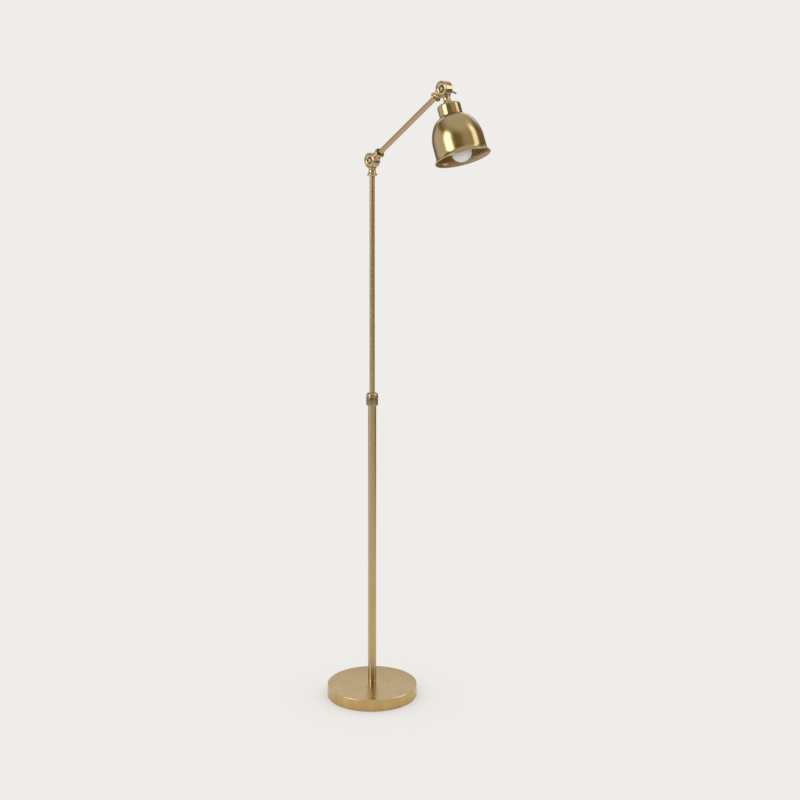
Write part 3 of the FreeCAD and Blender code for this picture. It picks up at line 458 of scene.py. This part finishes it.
def knuckle_tones_and_painted_light(pivot, tube_axis):
    """A knuckle's face is darker on its outer land and in its cup, its raised ring carries a painted
    highlight, and its lip has painted shade by the tube.
    """

    def knuckle_tones(graph, vector, finish, roughness):
        spot = graph.add("ShaderNodeTexCoord").outputs["Object"]
        arm = graph.vector("SUBTRACT", spot, tuple(pivot))
        flat = graph.vector("MULTIPLY", arm, (1.0, 0.0, 1.0))
        reach = graph.vector("LENGTH", flat)
        finish = graph.mix(band(graph, reach, 15.2, 20.1, 0.3), finish, (0.400, 0.280, 0.115, 1))
        # painted highlight on the raised ring
        finish = graph.mix(band(graph, reach, 10.4, 14.8, 0.3), finish, (0.760, 0.600, 0.360, 1))
        finish = graph.mix(band(graph, reach, 5.7, 10.2, 0.3), finish, (0.200, 0.125, 0.035, 1))
        # painted shadow: the lip's faces towards the tube, past 35 mm from the pivot, go nearly black
        # where the tube enters
        normal = graph.add("ShaderNodeNewGeometry").outputs["True Normal"]
        facing = graph.remap(graph.vector("DOT_PRODUCT", normal, tuple(tube_axis)), 0.8, 0.95)
        beyond = graph.remap(reach, 34.0 * MM, 36.0 * MM)
        end = graph.math("MULTIPLY", facing, beyond)
        return graph.mix(end, finish, (0.070, 0.042, 0.012, 1)), roughness

    return knuckle_tones


def polished(name, where, local_finish=None):
    return brass(name, where, POLISHED, SPUN, 1200.0, 0.00001, local_finish)


def plain_finish(name, light, dark, roughness, scale, bump, metallic):
    """A moulded, cast or plated surface with its own mottling and texture."""
    material, graph, shader = new_material(name)
    vector = place_pattern(graph, UPRIGHT)
    colour = use(graph, TARNISH, Vector=vector, Clean=light, Dull=dark, Cloud=scale * 0.1)
    marks = use(graph, MARKS, Vector=vector, Smooth=roughness - 0.08, Rough=roughness + 0.08)
    texture = graph.noise(vector, scale * 4.0, 4.0)
    relief = graph.add("ShaderNodeBump", {"Strength": 0.5, "Distance": bump, "Height": texture})
    graph.feed(shader.inputs["Base Color"], colour.outputs["Color"])
    graph.feed(shader.inputs["Roughness"], marks.outputs["Roughness"])
    graph.feed(shader.inputs["Normal"], relief.outputs[0])
    shader.inputs["Metallic"].default_value = metallic
    return material


def opal_glass():
    material, graph, shader = new_material("opal_glass")
    vector = place_pattern(graph, IN_HEAD)
    depth = graph.add("ShaderNodeSeparateXYZ", {"Vector": vector}).outputs["Z"]
    # painted shade: the glass darkens from its neck towards its tip
    tip_shade = graph.remap(depth, -BULB_CONTACT * MM, -(BULB_CENTRE + BULB_RADIUS) * MM, 0.0, 1.0)
    cloud = graph.remap(graph.noise(vector, 90.0, 3.0), 0.3, 0.7, 0.0, 0.25)
    tone = graph.math("ADD", graph.math("MULTIPLY", tip_shade, 0.75), cloud, clamp=True)
    colour = graph.mix(tone, (0.90, 0.90, 0.86, 1), (0.75, 0.73, 0.70, 1))
    marks = use(graph, MARKS, Vector=vector, Smooth=0.22, Rough=0.3)
    graph.feed(shader.inputs["Base Color"], colour)
    graph.feed(shader.inputs["Roughness"], marks.outputs["Roughness"])
    shader.inputs["Subsurface Weight"].default_value = 0.35
    shader.inputs["Subsurface Radius"].default_value = (1.0, 0.9, 0.85)
    shader.inputs["Subsurface Scale"].default_value = 0.004
    shader.inputs["Coat Weight"].default_value = 1.0
    shader.inputs["Coat Roughness"].default_value = 0.03
    shader.inputs["IOR"].default_value = 1.5
    return material


BASE_BRASS = satin("satin_brass_base", UPRIGHT, SPUN, 800.0, local_finish=base_wall)
POST_BRASS = satin("satin_brass_post", UPRIGHT, DRAWN, 26.0)
ARM_BRASS = satin("satin_brass_arm", ALONG_ARM, DRAWN, 26.0)
NUT_BRASS = antique("antique_brass_nut", UPRIGHT, nut_darker_below_dome)
KNURL_BRASS = knurled("antique_brass_knurl", UPRIGHT)
HEAD_BRASS = antique("antique_brass_head", IN_HEAD)
SHADE_BRASS = antique("antique_brass_shade", IN_HEAD, bell_inside_and_painted_shade)
POST_POLISH = polished("polished_brass_post", UPRIGHT)
ARM_POLISH = polished("polished_brass_arm", ALONG_ARM)
HEAD_POLISH = polished("polished_brass_head", IN_HEAD)
ELBOW_POST_BRASS = polished(
    "polished_brass_elbow_post", UPRIGHT, knuckle_tones_and_painted_light(ELBOW, Vector((0, 0, -1)))
)
ELBOW_ARM_BRASS = polished("polished_brass_elbow_arm", ALONG_ARM, knuckle_tones_and_painted_light(ELBOW, ARM_AXIS))
TILT_ARM_BRASS = polished("polished_brass_tilt_arm", ALONG_ARM, knuckle_tones_and_painted_light(TILT, -ARM_AXIS))
TILT_HEAD_BRASS = polished("polished_brass_tilt_head", IN_HEAD, knuckle_tones_and_painted_light(TILT, HEAD_AXIS))
# painted shade: the wing nuts take the darker knurl brass, for the shade they sit in behind the
# knuckles
WING_BRASS_PAINTED_SHADE = knurled("antique_brass_wing_painted_shade", UPRIGHT)
# light and dark colour, roughness, grain of the texture, depth of its relief (m), metallic
PLAIN_LOOKS = {
    "cast_iron": ((0.110, 0.110, 0.110, 1), (0.060, 0.055, 0.050, 1), 0.60, 300.0, 0.00030, 1.0),
    "foam_pad": ((0.035, 0.035, 0.035, 1), (0.020, 0.020, 0.020, 1), 0.85, 900.0, 0.00020, 0.0),
    "black_rubber": ((0.030, 0.030, 0.030, 1), (0.018, 0.018, 0.018, 1), 0.60, 700.0, 0.00005, 0.0),
    "zinc_plate": ((0.620, 0.620, 0.600, 1), (0.480, 0.480, 0.470, 1), 0.30, 400.0, 0.00002, 1.0),
    "natural_nylon": ((0.780, 0.760, 0.700, 1), (0.700, 0.670, 0.600, 1), 0.45, 500.0, 0.00003, 0.0),
    "red_fibre": ((0.300, 0.100, 0.060, 1), (0.200, 0.060, 0.035, 1), 0.70, 900.0, 0.00005, 0.0),
    "black_plastic": ((0.025, 0.024, 0.023, 1), (0.015, 0.015, 0.015, 1), 0.28, 600.0, 0.00002, 0.0),
    "bulb_aluminium": ((0.800, 0.800, 0.790, 1), (0.660, 0.660, 0.650, 1), 0.25, 500.0, 0.00002, 1.0),
}
PLAIN = {name: plain_finish(name, *look) for name, look in PLAIN_LOOKS.items()}
OPAL = opal_glass()


# --- shapes ------------------------------------------------------------------------------------


def arc_points(start, end, radius, turn):
    """Points of the short arc after its start; turn is 1 for counter-clockwise, -1 for clockwise."""
    start, end = Vector(start), Vector(end)
    chord = end - start
    height = math.sqrt(max(radius**2 - (chord.length / 2) ** 2, 0.0))
    across = Vector((-chord.y, chord.x)).normalized() * turn
    centre = start + chord / 2 + across * height
    first = math.atan2(*(start - centre).yx)
    sweep = math.atan2(*(end - centre).yx) - first
    if turn > 0 and sweep < 0:
        sweep += 2 * math.pi
    if turn < 0 and sweep > 0:
        sweep -= 2 * math.pi
    steps = max(4, math.ceil(abs(sweep) / math.radians(4.0)))
    points = []
    for step in range(1, steps + 1):
        angle = first + sweep * step / steps
        points.append(centre + Vector((math.cos(angle), math.sin(angle))) * radius)
    return points


def outline(*corners):
    """A closed outline. A corner is (x, y), or (x, y, radius, turn) where an arc leads to it."""
    points = []
    for index, corner in enumerate(corners):
        if len(corner) == 4:
            before = corners[index - 1][:2]
            points += arc_points(before, corner[:2], corner[2], corner[3])
        else:
            points.append(Vector(corner[:2]))
    return points


def down(*corners):
    """Corners given as (radius, distance down the axis), turned into outline corners."""
    return [(corner[0], -corner[1], *corner[2:]) for corner in corners]


def finish_mesh(mesh, angle=32.0):
    """Closes, turns outwards and smooths a mesh, with its corners kept sharp."""
    shape = bmesh.new()
    shape.from_mesh(mesh)
    bmesh.ops.remove_doubles(shape, verts=shape.verts, dist=2e-6)
    bmesh.ops.recalc_face_normals(shape, faces=shape.faces)
    for face in shape.faces:
        face.smooth = True
    shape.to_mesh(mesh)
    shape.free()
    mesh.set_sharp_from_angle(angle=math.radians(angle))


def turned(name, where, corners, sides=192):
    """A piece turned about its own Z from a closed outline."""
    points = outline(*corners)
    shape = bmesh.new()
    rings = []
    for point in points:
        if abs(point.x) < 1e-6:
            rings.append([shape.verts.new((0.0, 0.0, point.y * MM))])
            continue
        ring = []
        for side in range(sides):
            angle = 2 * math.pi * side / sides
            place = (point.x * math.cos(angle), point.x * math.sin(angle), point.y)
            ring.append(shape.verts.new(Vector(place) * MM))
        rings.append(ring)
    for index, ring in enumerate(rings):
        join_rings(shape, rings[index - 1], ring)
    mesh = bpy.data.meshes.new(name)
    shape.to_mesh(mesh)
    shape.free()
    mesh.transform(where)
    finish_mesh(mesh)
    piece = bpy.data.objects.new(name, mesh)
    bpy.context.collection.objects.link(piece)
    return piece


def join_rings(shape, first, second):
    sides = max(len(first), len(second))
    if sides == 1:
        return
    for side in range(sides):
        after = (side + 1) % sides
        around = []
        for ring, spot in ((first, side), (first, after), (second, after), (second, side)):
            vertex = ring[spot % len(ring)]
            if vertex not in around:
                around.append(vertex)
        shape.faces.new(around)


def smoothed(node_name, angle=28.0):
    """A copy of a CAD node with its triangles joined and its round faces smooth."""
    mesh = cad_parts[node_name].data.copy()
    finish_mesh(mesh, angle)
    piece = bpy.data.objects.new(f"{node_name}_finished", mesh)
    bpy.context.collection.objects.link(piece)
    return piece


def dress(piece, material, body, slot, *nodes):
    """Gives a piece its finish and its body, and hides the CAD nodes that it stands for."""
    piece.data.materials.clear()
    piece.data.materials.append(material)
    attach(piece, body)
    if nodes:
        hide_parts(*nodes)


def evaluated_copy(piece, name):
    """The piece with its modifiers worked out, as a plain mesh object in its place."""
    mesh = bpy.data.meshes.new_from_object(
        piece.evaluated_get(bpy.context.evaluated_depsgraph_get())
    )
    mesh.name = name
    bpy.data.objects.remove(piece)
    result = bpy.data.objects.new(name, mesh)
    bpy.context.collection.objects.link(result)
    return result


# --- base and post -----------------------------------------------------------------------------


def make_base_cover():
    inner = BASE_RADIUS - COVER_WALL
    ceiling = BASE_TOP - COVER_WALL
    cover = turned(
        "base_cover_spun",
        UPRIGHT,
        [
            (STUD_RADIUS, ceiling),
            (inner, ceiling),
            (inner, COVER_LIFT),
            (BASE_RADIUS, COVER_LIFT),
            (BASE_RADIUS, BASE_TOP - COVER_EDGE),
            (BASE_RADIUS - COVER_EDGE, BASE_TOP, COVER_EDGE, 1),
            (STUD_RADIUS, BASE_TOP),
        ],
        sides=256,
    )
    cord_hole = turned(
        "cord_hole",
        Matrix.Translation((-BASE_RADIUS * MM, 0, OUTLET_HEIGHT * MM))
        @ Matrix.Rotation(math.radians(90), 4, "Y"),
        [(0.0, -8.0), (OUTLET_NECK, -8.0), (OUTLET_NECK, 8.0), (0.0, 8.0)],
        sides=48,
    )
    hole = cover.modifiers.new("cord_hole", "BOOLEAN")
    hole.object = cord_hole
    hole.operation = "DIFFERENCE"
    cover = evaluated_copy(cover, "base_cover_spun")
    bpy.data.objects.remove(cord_hole)
    cover.data.set_sharp_from_angle(angle=math.radians(32))
    dress(cover, BASE_BRASS, "base", "satin_brass", "base_cover")


def tube(name, where, outer, inner, low, high):
    edge = 0.25
    return turned(
        name,
        where,
        [
            (inner, low),
            (outer - edge, low),
            (outer, low + edge, edge, 1),
            (outer, high - edge),
            (outer - edge, high, edge, 1),
            (inner, high),
        ],
        sides=96,
    )


def make_post():
    foot = turned(
        "foot_ring",
        UPRIGHT,
        [
            (STUD_RADIUS, BASE_TOP),
            (FOOT_RADIUS - 0.5, BASE_TOP),
            (FOOT_RADIUS, BASE_TOP + 0.5, 0.5, 1),
            (FOOT_RADIUS, FOOT_TOP - 1.0),
            (FOOT_RADIUS - 1.0, FOOT_TOP, 1.0, 1),
            (STUD_RADIUS, FOOT_TOP),
        ],
        sides=128,
    )
    dress(foot, POST_POLISH, "base", "polished_brass", "foot_ferrule")
    lower = tube("lower_tube_drawn", UPRIGHT, LOWER_RADIUS, LOWER_BORE, FOOT_TOP, LOWER_TOP)
    dress(lower, POST_BRASS, "base", "satin_brass", "lower_tube")
    upper = tube("upper_tube_drawn", UPRIGHT, UPPER_RADIUS, UPPER_BORE, UPPER_LOW, UPPER_TOP)
    dress(upper, POST_BRASS, "upper_post", "satin_brass", "upper_tube")
    arm = tube("arm_tube_drawn", ALONG_ARM, UPPER_RADIUS, UPPER_BORE, ARM_SEAT, ARM_LENGTH - ARM_SEAT)
    dress(arm, ARM_BRASS, "arm", "satin_brass", "arm_tube")


def make_locking_nut():
    where = Matrix.Translation((0, 0, COLLAR_LOW * MM))
    floor = COLLAR_RADIUS - KNURL_DEEP
    plain = COLLAR_RADIUS - 0.3
    nut = turned(
        "locking_nut_turned",
        where,
        [
            (COLLAR_THREAD, 0.0),
            (COLLAR_RADIUS - COLLAR_ROUND, 0.0),
            (floor, COLLAR_ROUND - 0.6, COLLAR_ROUND, 1),
            (floor, KNURL_TALL - 0.4),
            (plain - 0.35, KNURL_TALL),
            (plain, KNURL_TALL + 0.35, 0.35, 1),
            (plain, COLLAR_TALL - DOME_RADIUS),
            (plain - DOME_RADIUS, COLLAR_TALL, DOME_RADIUS, 1),
            (COLLAR_PASSAGE, COLLAR_TALL),
            (COLLAR_PASSAGE, COLLAR_THREAD_TOP + 5.0),
            (COLLAR_THREAD, COLLAR_THREAD_TOP + 2.6),
        ],
    )
    dress(nut, NUT_BRASS, "locking_nut", "antique_brass", "post_locking_nut")
    knurl = knurled_ridges(floor, KNURL_DEEP, COLLAR_ROUND + 0.2, KNURL_TALL - 0.6)
    knurl.data.transform(where)
    dress(knurl, KNURL_BRASS, "locking_nut", "antique_brass")


def knurl_tree():
    """Ridges set round a circle: one four-sided ridge on each of its points."""
    tree = bpy.data.node_groups.new("knurl_ridges", "GeometryNodeTree")
    for label, kind in (
        ("Ridges", "NodeSocketInt"),
        ("Radius", "NodeSocketFloat"),
        ("Depth", "NodeSocketFloat"),
        ("Low", "NodeSocketFloat"),
        ("High", "NodeSocketFloat"),
        ("Finish", "NodeSocketMaterial"),
    ):
        tree.interface.new_socket(label, in_out="INPUT", socket_type=kind)
    tree.interface.new_socket("Geometry", in_out="OUTPUT", socket_type="NodeSocketGeometry")
    graph = Graph(tree)
    sizes = graph.add("NodeGroupInput").outputs
    ring = graph.add(
        "GeometryNodeCurvePrimitiveCircle",
        {"Resolution": sizes["Ridges"], "Radius": sizes["Radius"]},
        mode="RADIUS",
    )
    length = graph.math("SUBTRACT", sizes["High"], sizes["Low"])
    ridge = graph.add(
        "GeometryNodeMeshCone",
        {
            "Vertices": 4,
            "Radius Top": sizes["Depth"],
            "Radius Bottom": sizes["Depth"],
            "Depth": length,
        },
        fill_type="NGON",
    )
    lifted = graph.add("ShaderNodeCombineXYZ", {"Z": sizes["Low"]})
    raised = graph.add(
        "GeometryNodeTransform",
        {"Geometry": ridge.outputs["Mesh"], "Translation": lifted.outputs[0]},
    )
    turn = graph.add("GeometryNodeInputTangent")
    facing = graph.add(
        "FunctionNodeAlignRotationToVector",
        {"Vector": turn.outputs[0]},
        axis="Y",
        pivot_axis="Z",
    )
    placed = graph.add(
        "GeometryNodeInstanceOnPoints",
        {
            "Points": ring.outputs["Curve"],
            "Instance": raised.outputs[0],
            "Rotation": facing.outputs[0],
        },
    )
    real = graph.add("GeometryNodeRealizeInstances", {"Geometry": placed.outputs[0]})
    finished = graph.add(
        "GeometryNodeSetMaterial", {"Geometry": real.outputs[0], "Material": sizes["Finish"]}
    )
    graph.add("NodeGroupOutput", {"Geometry": finished.outputs[0]})
    return tree


def knurled_ridges(radius, depth, low, high):
    carrier = bpy.data.objects.new("knurl_carrier", bpy.data.meshes.new("knurl_carrier"))
    bpy.context.collection.objects.link(carrier)
    modifier = carrier.modifiers.new("knurl_ridges", "NODES")
    modifier.node_group = knurl_tree()
    sizes = {
        "Ridges": KNURL_RIDGES,
        "Radius": (radius - 0.02) * MM,
        "Depth": depth * MM,
        "Low": low * MM,
        "High": high * MM,
        "Finish": KNURL_BRASS,
    }
    for item in modifier.node_group.interface.items_tree:
        if item.in_out == "INPUT":
            modifier[item.identifier] = sizes[item.name]
    return evaluated_copy(carrier, "locking_nut_knurl")


# --- head --------------------------------------------------------------------------------------


def make_cap():
    inside = CAP_RADIUS - CAP_WALL
    inner_edge = CAP_EDGE - CAP_WALL
    cap = turned(
        "shade_cap_spun",
        IN_HEAD,
        down(
            (STUD_RADIUS, CAP_TOP),
            (STUD_RADIUS, CAP_TOP + CAP_WALL),
            (inside - inner_edge, CAP_TOP + CAP_WALL),
            (inside, CAP_TOP + CAP_EDGE, inner_edge, -1),
            (inside, SHADE_TOP),
            (CAP_RADIUS - 0.4, SHADE_TOP),
            (CAP_RADIUS, SHADE_TOP - 0.4, 0.4, 1),
            (CAP_RADIUS, CAP_TOP + CAP_EDGE),
            (CAP_RADIUS - CAP_EDGE, CAP_TOP, CAP_EDGE, 1),
        ),
    )
    dress(cap, HEAD_BRASS, "head", "antique_brass", "shade_cap")


def meeting(centre, radius, flare_centre, flare_radius, low_turn, high_turn):
    """Where the flare's arc runs into the rolled rim, as (radius, distance down the axis)."""
    for step in range(400):
        turn = math.radians(low_turn + (high_turn - low_turn) * step / 400)
        spot = flare_centre + Vector((-math.cos(turn), math.sin(turn))) * flare_radius
        if (spot - centre).length <= radius:
            return spot
    return spot


def make_shade():
    """The bell, drawn as one closed outline with its rim rolled over a wire."""
    side_turn, flare_turn = math.radians(SIDE_TURN), math.radians(FLARE_TURN)
    side_x = BELL_RADIUS - SIDE_ROUND
    junction = (
        side_x + SIDE_ROUND * math.cos(side_turn),
        BELL_START - SIDE_ROUND * math.sin(side_turn),
    )
    inner_junction = (
        junction[0] - SHADE_WALL * math.cos(side_turn),
        junction[1] + SHADE_WALL * math.sin(side_turn),
    )
    flare_centre = Vector((BELL_RADIUS + FLARE_ROUND, BELL_STOP))
    rim = flare_centre + Vector((-math.cos(flare_turn), math.sin(flare_turn))) * FLARE_ROUND
    rim.y += 0.2
    outer = meeting(rim, RIM_ROUND, flare_centre, FLARE_ROUND, 0.0, FLARE_TURN)
    inner = meeting(rim, RIM_ROUND, flare_centre, FLARE_ROUND + SHADE_WALL, 0.0, FLARE_TURN)
    far = rim * 2 - (outer + inner) / 2
    far = rim + (far - rim).normalized() * RIM_ROUND
    shade = turned(
        "shade_spun",
        IN_HEAD,
        down(
            (SHADE_HOLE, SHADE_TOP),
            (SHADE_HOLE, SHADE_TOP + SHADE_WALL),
            (CROWN_RADIUS - 0.6, SHADE_TOP + SHADE_WALL),
            (*inner_junction, SHOULDER_ROUND - SHADE_WALL, -1),
            (BELL_RADIUS - SHADE_WALL, BELL_START, SIDE_ROUND - SHADE_WALL, -1),
            (BELL_RADIUS - SHADE_WALL, BELL_STOP),
            (*inner, FLARE_ROUND + SHADE_WALL, 1),
            (*far, RIM_ROUND, 1),
            (*outer, RIM_ROUND, 1),
            (BELL_RADIUS, BELL_STOP, FLARE_ROUND, -1),
            (BELL_RADIUS, BELL_START),
            (*junction, SIDE_ROUND, 1),
            (CROWN_RADIUS, SHADE_TOP, SHOULDER_ROUND, 1),
        ),
        sides=256,
    )
    dress(shade, SHADE_BRASS, "head", "antique_brass", "shade")


def make_bulb():
    turn = math.radians(BULB_CONE_TURN)
    inner = BULB_RADIUS - BULB_WALL
    stem_top = BULB_CONTACT + 9.0
    globe = turned(
        "bulb_globe_blown",
        IN_HEAD,
        down(
            (BULB_STEM, stem_top),
            (BULB_STEM, BULB_CAP_RIM + 0.3),
            (BULB_NECK, BULB_CAP_RIM + 3.5, 4.0, 1),
            (BULB_RADIUS * math.sin(turn), BULB_CENTRE - BULB_RADIUS * math.cos(turn)),
            (BULB_RADIUS, BULB_CENTRE, BULB_RADIUS, -1),
            (0.0, BULB_CENTRE + BULB_RADIUS, BULB_RADIUS, -1),
            (0.0, BULB_CENTRE + inner),
            (inner, BULB_CENTRE, inner, 1),
            (inner * math.sin(turn), BULB_CENTRE - inner * math.cos(turn), inner, 1),
            (BULB_NECK - BULB_WALL, BULB_CAP_RIM + 3.8),
            (BULB_STEM - BULB_WALL, BULB_CAP_RIM + 0.3),
            (BULB_STEM - BULB_WALL, stem_top),
        ),
    )
    dress(globe, OPAL, "head", "opal_glass", "bulb_globe")


# --- castings, screws and hidden pieces --------------------------------------------------------

FINISHED_COPIES = {
    "elbow_post_half": (ELBOW_POST_BRASS, "upper_post", "polished_brass"),
    "elbow_arm_half": (ELBOW_ARM_BRASS, "arm", "polished_brass"),
    "tilt_arm_half": (TILT_ARM_BRASS, "arm", "polished_brass"),
    "tilt_head_half": (TILT_HEAD_BRASS, "head", "polished_brass"),
    "elbow_screw": (POST_POLISH, "upper_post", "polished_brass"),
    "tilt_screw": (ARM_POLISH, "arm", "polished_brass"),
    "elbow_wing_nut": (WING_BRASS_PAINTED_SHADE, "elbow_wing", "polished_brass"),
    "tilt_wing_nut": (WING_BRASS_PAINTED_SHADE, "tilt_wing", "polished_brass"),
    "elbow_spring_washer": (PLAIN["zinc_plate"], "upper_post", "zinc_steel"),
    "tilt_spring_washer": (PLAIN["zinc_plate"], "arm", "zinc_steel"),
    "elbow_friction_washer": (PLAIN["red_fibre"], "upper_post", "fibre"),
    "tilt_friction_washer": (PLAIN["red_fibre"], "arm", "fibre"),
    "cord_outlet_bush": (PLAIN["black_rubber"], "base", "black_rubber"),
    "lampholder": (PLAIN["black_plastic"], "head", "black_plastic"),
    "shade_ring": (PLAIN["black_plastic"], "head", "black_plastic"),
    "bulb_cap": (PLAIN["bulb_aluminium"], "head", "bulb_cap_metal"),
}

KEPT_NODES = {
    "base_weight": PLAIN["cast_iron"],
    "base_pad": PLAIN["foam_pad"],
    "base_stud": PLAIN["zinc_plate"],
    "base_washer": PLAIN["zinc_plate"],
    "base_nut": PLAIN["zinc_plate"],
    "lower_tube_plug": PLAIN["zinc_plate"],
    "top_ferrule": POST_POLISH,
    "post_collet": PLAIN["natural_nylon"],
    "guide_bush": PLAIN["natural_nylon"],
    "bush_ring_lower": PLAIN["zinc_plate"],
    "bush_ring_upper": PLAIN["zinc_plate"],
    "head_nipple": PLAIN["zinc_plate"],
    "cap_locknut": PLAIN["zinc_plate"],
    "lampholder_shell": HEAD_POLISH,
    "lampholder_contact": HEAD_POLISH,
}


def dress_castings():
    for node_name, (material, body, slot) in FINISHED_COPIES.items():
        dress(smoothed(node_name), material, body, slot, node_name)
    for node_name, material in KEPT_NODES.items():
        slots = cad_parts[node_name].material_slots
        for spot in slots:
            spot.link = "OBJECT"
            spot.material = material


# --- floor, light and camera -------------------------------------------------------------------

PAPER = (0.863, 0.847, 0.815, 1.0)
VIEW_TURN = 48.0
VIEW_DISTANCE = 3.835
VIEW_HEIGHT = 1.5226
VIEW_OFFSET = 0.0752
HORIZON_ROW = 130.0
FOCAL_PIXELS = 1420.0
FRAME_PIXELS = 800.0
SENSOR = 36.0
FLOOR_RADIUS = 9.0
FLOOR_GLOW = 0.35  # share of the seen floor that glows, which keeps its shadow pale


def make_floor():
    bpy.ops.mesh.primitive_circle_add(vertices=96, radius=FLOOR_RADIUS, fill_type="NGON")
    floor = bpy.context.object
    floor.name = "floor"
    material, graph, shader = new_material("floor_paper")
    spot = graph.add("ShaderNodeTexCoord").outputs["Object"]
    place = graph.vector("LENGTH", spot)
    rays = graph.add("ShaderNodeLightPath").outputs
    # painted shade in reflections: glossy rays see the floor fade towards black far off and behind
    # the lamp
    far = graph.remap(place, 1.2, 4.0, 0.0, 0.32, soft=True)
    right, ahead = view_axes()
    beyond = graph.vector("DOT_PRODUCT", spot, tuple(ahead * 0.77 + right * 0.64))
    behind = graph.remap(beyond, 0.4, 2.4, 0.0, 0.5, soft=True)
    faded = graph.math("MULTIPLY", graph.math("ADD", far, behind), rays["Is Glossy Ray"])
    graph.feed(shader.inputs["Base Color"], graph.mix(faded, PAPER, (0.0, 0.0, 0.0, 1.0)))
    shader.inputs["Roughness"].default_value = 1.0
    shader.inputs["Specular IOR Level"].default_value = 0.0
    glow = graph.add("ShaderNodeEmission", {"Color": PAPER, "Strength": 1.0})
    glowing = graph.math("MULTIPLY", rays["Is Camera Ray"], FLOOR_GLOW)
    shared = graph.add("ShaderNodeMixShader", {"Fac": glowing})
    graph.feed(shared.inputs[1], shader.outputs[0])
    graph.feed(shared.inputs[2], glow.outputs[0])
    graph.feed(material.node_tree.nodes["Material Output"].inputs["Surface"], shared.outputs[0])
    floor.data.materials.append(material)


def view_axes():
    turn = math.radians(VIEW_TURN)
    right = Vector((math.cos(turn), math.sin(turn), 0.0))
    ahead = Vector((-math.sin(turn), math.cos(turn), 0.0))
    return right, ahead


# panels of light round the lamp, as reflections show them: turn from the camera to the right,
# half width, softness (degrees), strength, lower and upper end (sine of the elevation)
PANELS = [
    (-55.0, 6.5, 14.5, 3.7, -0.08, 0.42),
    (-102.0, 24.0, 18.0, 0.56, -0.35, 0.30),
    (85.0, 6.0, 13.0, 1.7, -0.08, 0.68),
    (180.0, 34.0, 14.0, 0.92, 0.24, 0.5),
]
WARM_PANEL = (38.0, 22.0, 16.0, 0.22, -0.4, 0.6)
FADE_BELOW = 0.14
FADE_ABOVE = 0.2
SURROUND = 0.19
CEILING = 0.47
WARM = (1.0, 0.82, 0.48, 1.0)


def light_panel(graph, heading, height, panel):
    """How much of one panel a direction meets."""
    turn, half, soft, strength, low, high = panel
    right, ahead = view_axes()
    aim = -ahead * math.cos(math.radians(turn)) + right * math.sin(math.radians(turn))
    facing = graph.vector("DOT_PRODUCT", heading, tuple(aim))
    edge_out = math.cos(math.radians(min(half + soft, 180.0)))
    edge_in = math.cos(math.radians(max(half - soft, 0.0)))
    across = graph.remap(facing, edge_out, edge_in, 0.0, strength, soft=True)
    above = graph.remap(height, low, low + FADE_BELOW, soft=True)
    below = graph.remap(height, high, high + FADE_ABOVE, 1.0, 0.0, soft=True)
    return graph.math("MULTIPLY", graph.math("MULTIPLY", across, above), below)


def make_light():
    world = bpy.data.worlds.new("studio")
    bpy.context.scene.world = world
    world.use_nodes = True
    world.node_tree.nodes.clear()
    graph = Graph(world.node_tree)
    direction = graph.add("ShaderNodeTexCoord").outputs["Generated"]
    parts = graph.add("ShaderNodeSeparateXYZ", {"Vector": direction})
    flat = graph.add("ShaderNodeCombineXYZ", {"X": parts.outputs["X"], "Y": parts.outputs["Y"]})
    heading = graph.vector("NORMALIZE", flat.outputs[0])
    height = parts.outputs["Z"]
    total = graph.remap(height, 0.5, 0.85, 0.0, CEILING, soft=True)
    for panel in PANELS:
        total = graph.math("ADD", total, light_panel(graph, heading, height, panel))
    dim = graph.remap(height, -0.25, 0.05, SURROUND * 0.7, SURROUND, soft=True)
    dim = graph.math("ADD", dim, light_panel(graph, heading, height, WARM_PANEL))
    seen = graph.add("ShaderNodeBackground", {"Color": PAPER, "Strength": 1.0})
    soft = graph.add("ShaderNodeBackground", {"Color": (1.0, 1.0, 1.0, 1.0), "Strength": 1.0})
    bright = graph.add("ShaderNodeBackground", {"Color": (1.0, 0.99, 0.97, 1.0), "Strength": total})
    shaded = graph.add("ShaderNodeBackground", {"Color": WARM, "Strength": dim})
    mirrored = graph.add("ShaderNodeAddShader")
    graph.feed(mirrored.inputs[0], bright.outputs[0])
    graph.feed(mirrored.inputs[1], shaded.outputs[0])
    rays = graph.add("ShaderNodeLightPath").outputs
    lit = graph.add("ShaderNodeMixShader", {"Fac": rays["Is Glossy Ray"]})
    graph.feed(lit.inputs[1], soft.outputs[0])
    graph.feed(lit.inputs[2], mirrored.outputs[0])
    shown = graph.add("ShaderNodeMixShader", {"Fac": rays["Is Camera Ray"]})
    graph.feed(shown.inputs[1], lit.outputs[0])
    graph.feed(shown.inputs[2], seen.outputs[0])
    graph.add("ShaderNodeOutputWorld", {"Surface": shown.outputs[0]})


def make_camera():
    right, ahead = view_axes()
    place = right * VIEW_OFFSET - ahead * VIEW_DISTANCE
    place.z = VIEW_HEIGHT
    lens = bpy.data.cameras.new("photo_view")
    lens.sensor_width = SENSOR
    lens.lens = FOCAL_PIXELS / FRAME_PIXELS * SENSOR
    lens.shift_y = -(FRAME_PIXELS / 2 - HORIZON_ROW) / FRAME_PIXELS
    camera = bpy.data.objects.new("photo_view", lens)
    bpy.context.collection.objects.link(camera)
    facing = Matrix((right, Vector((0, 0, 1)), -ahead)).transposed().to_4x4()
    camera.matrix_world = Matrix.Translation(place) @ facing
    bpy.context.scene.camera = camera


make_base_cover()
make_post()
make_locking_nut()
make_cap()
make_shade()
make_bulb()
dress_castings()
make_floor()
make_light()
make_camera()
bpy.context.scene.view_settings.view_transform = "Standard"
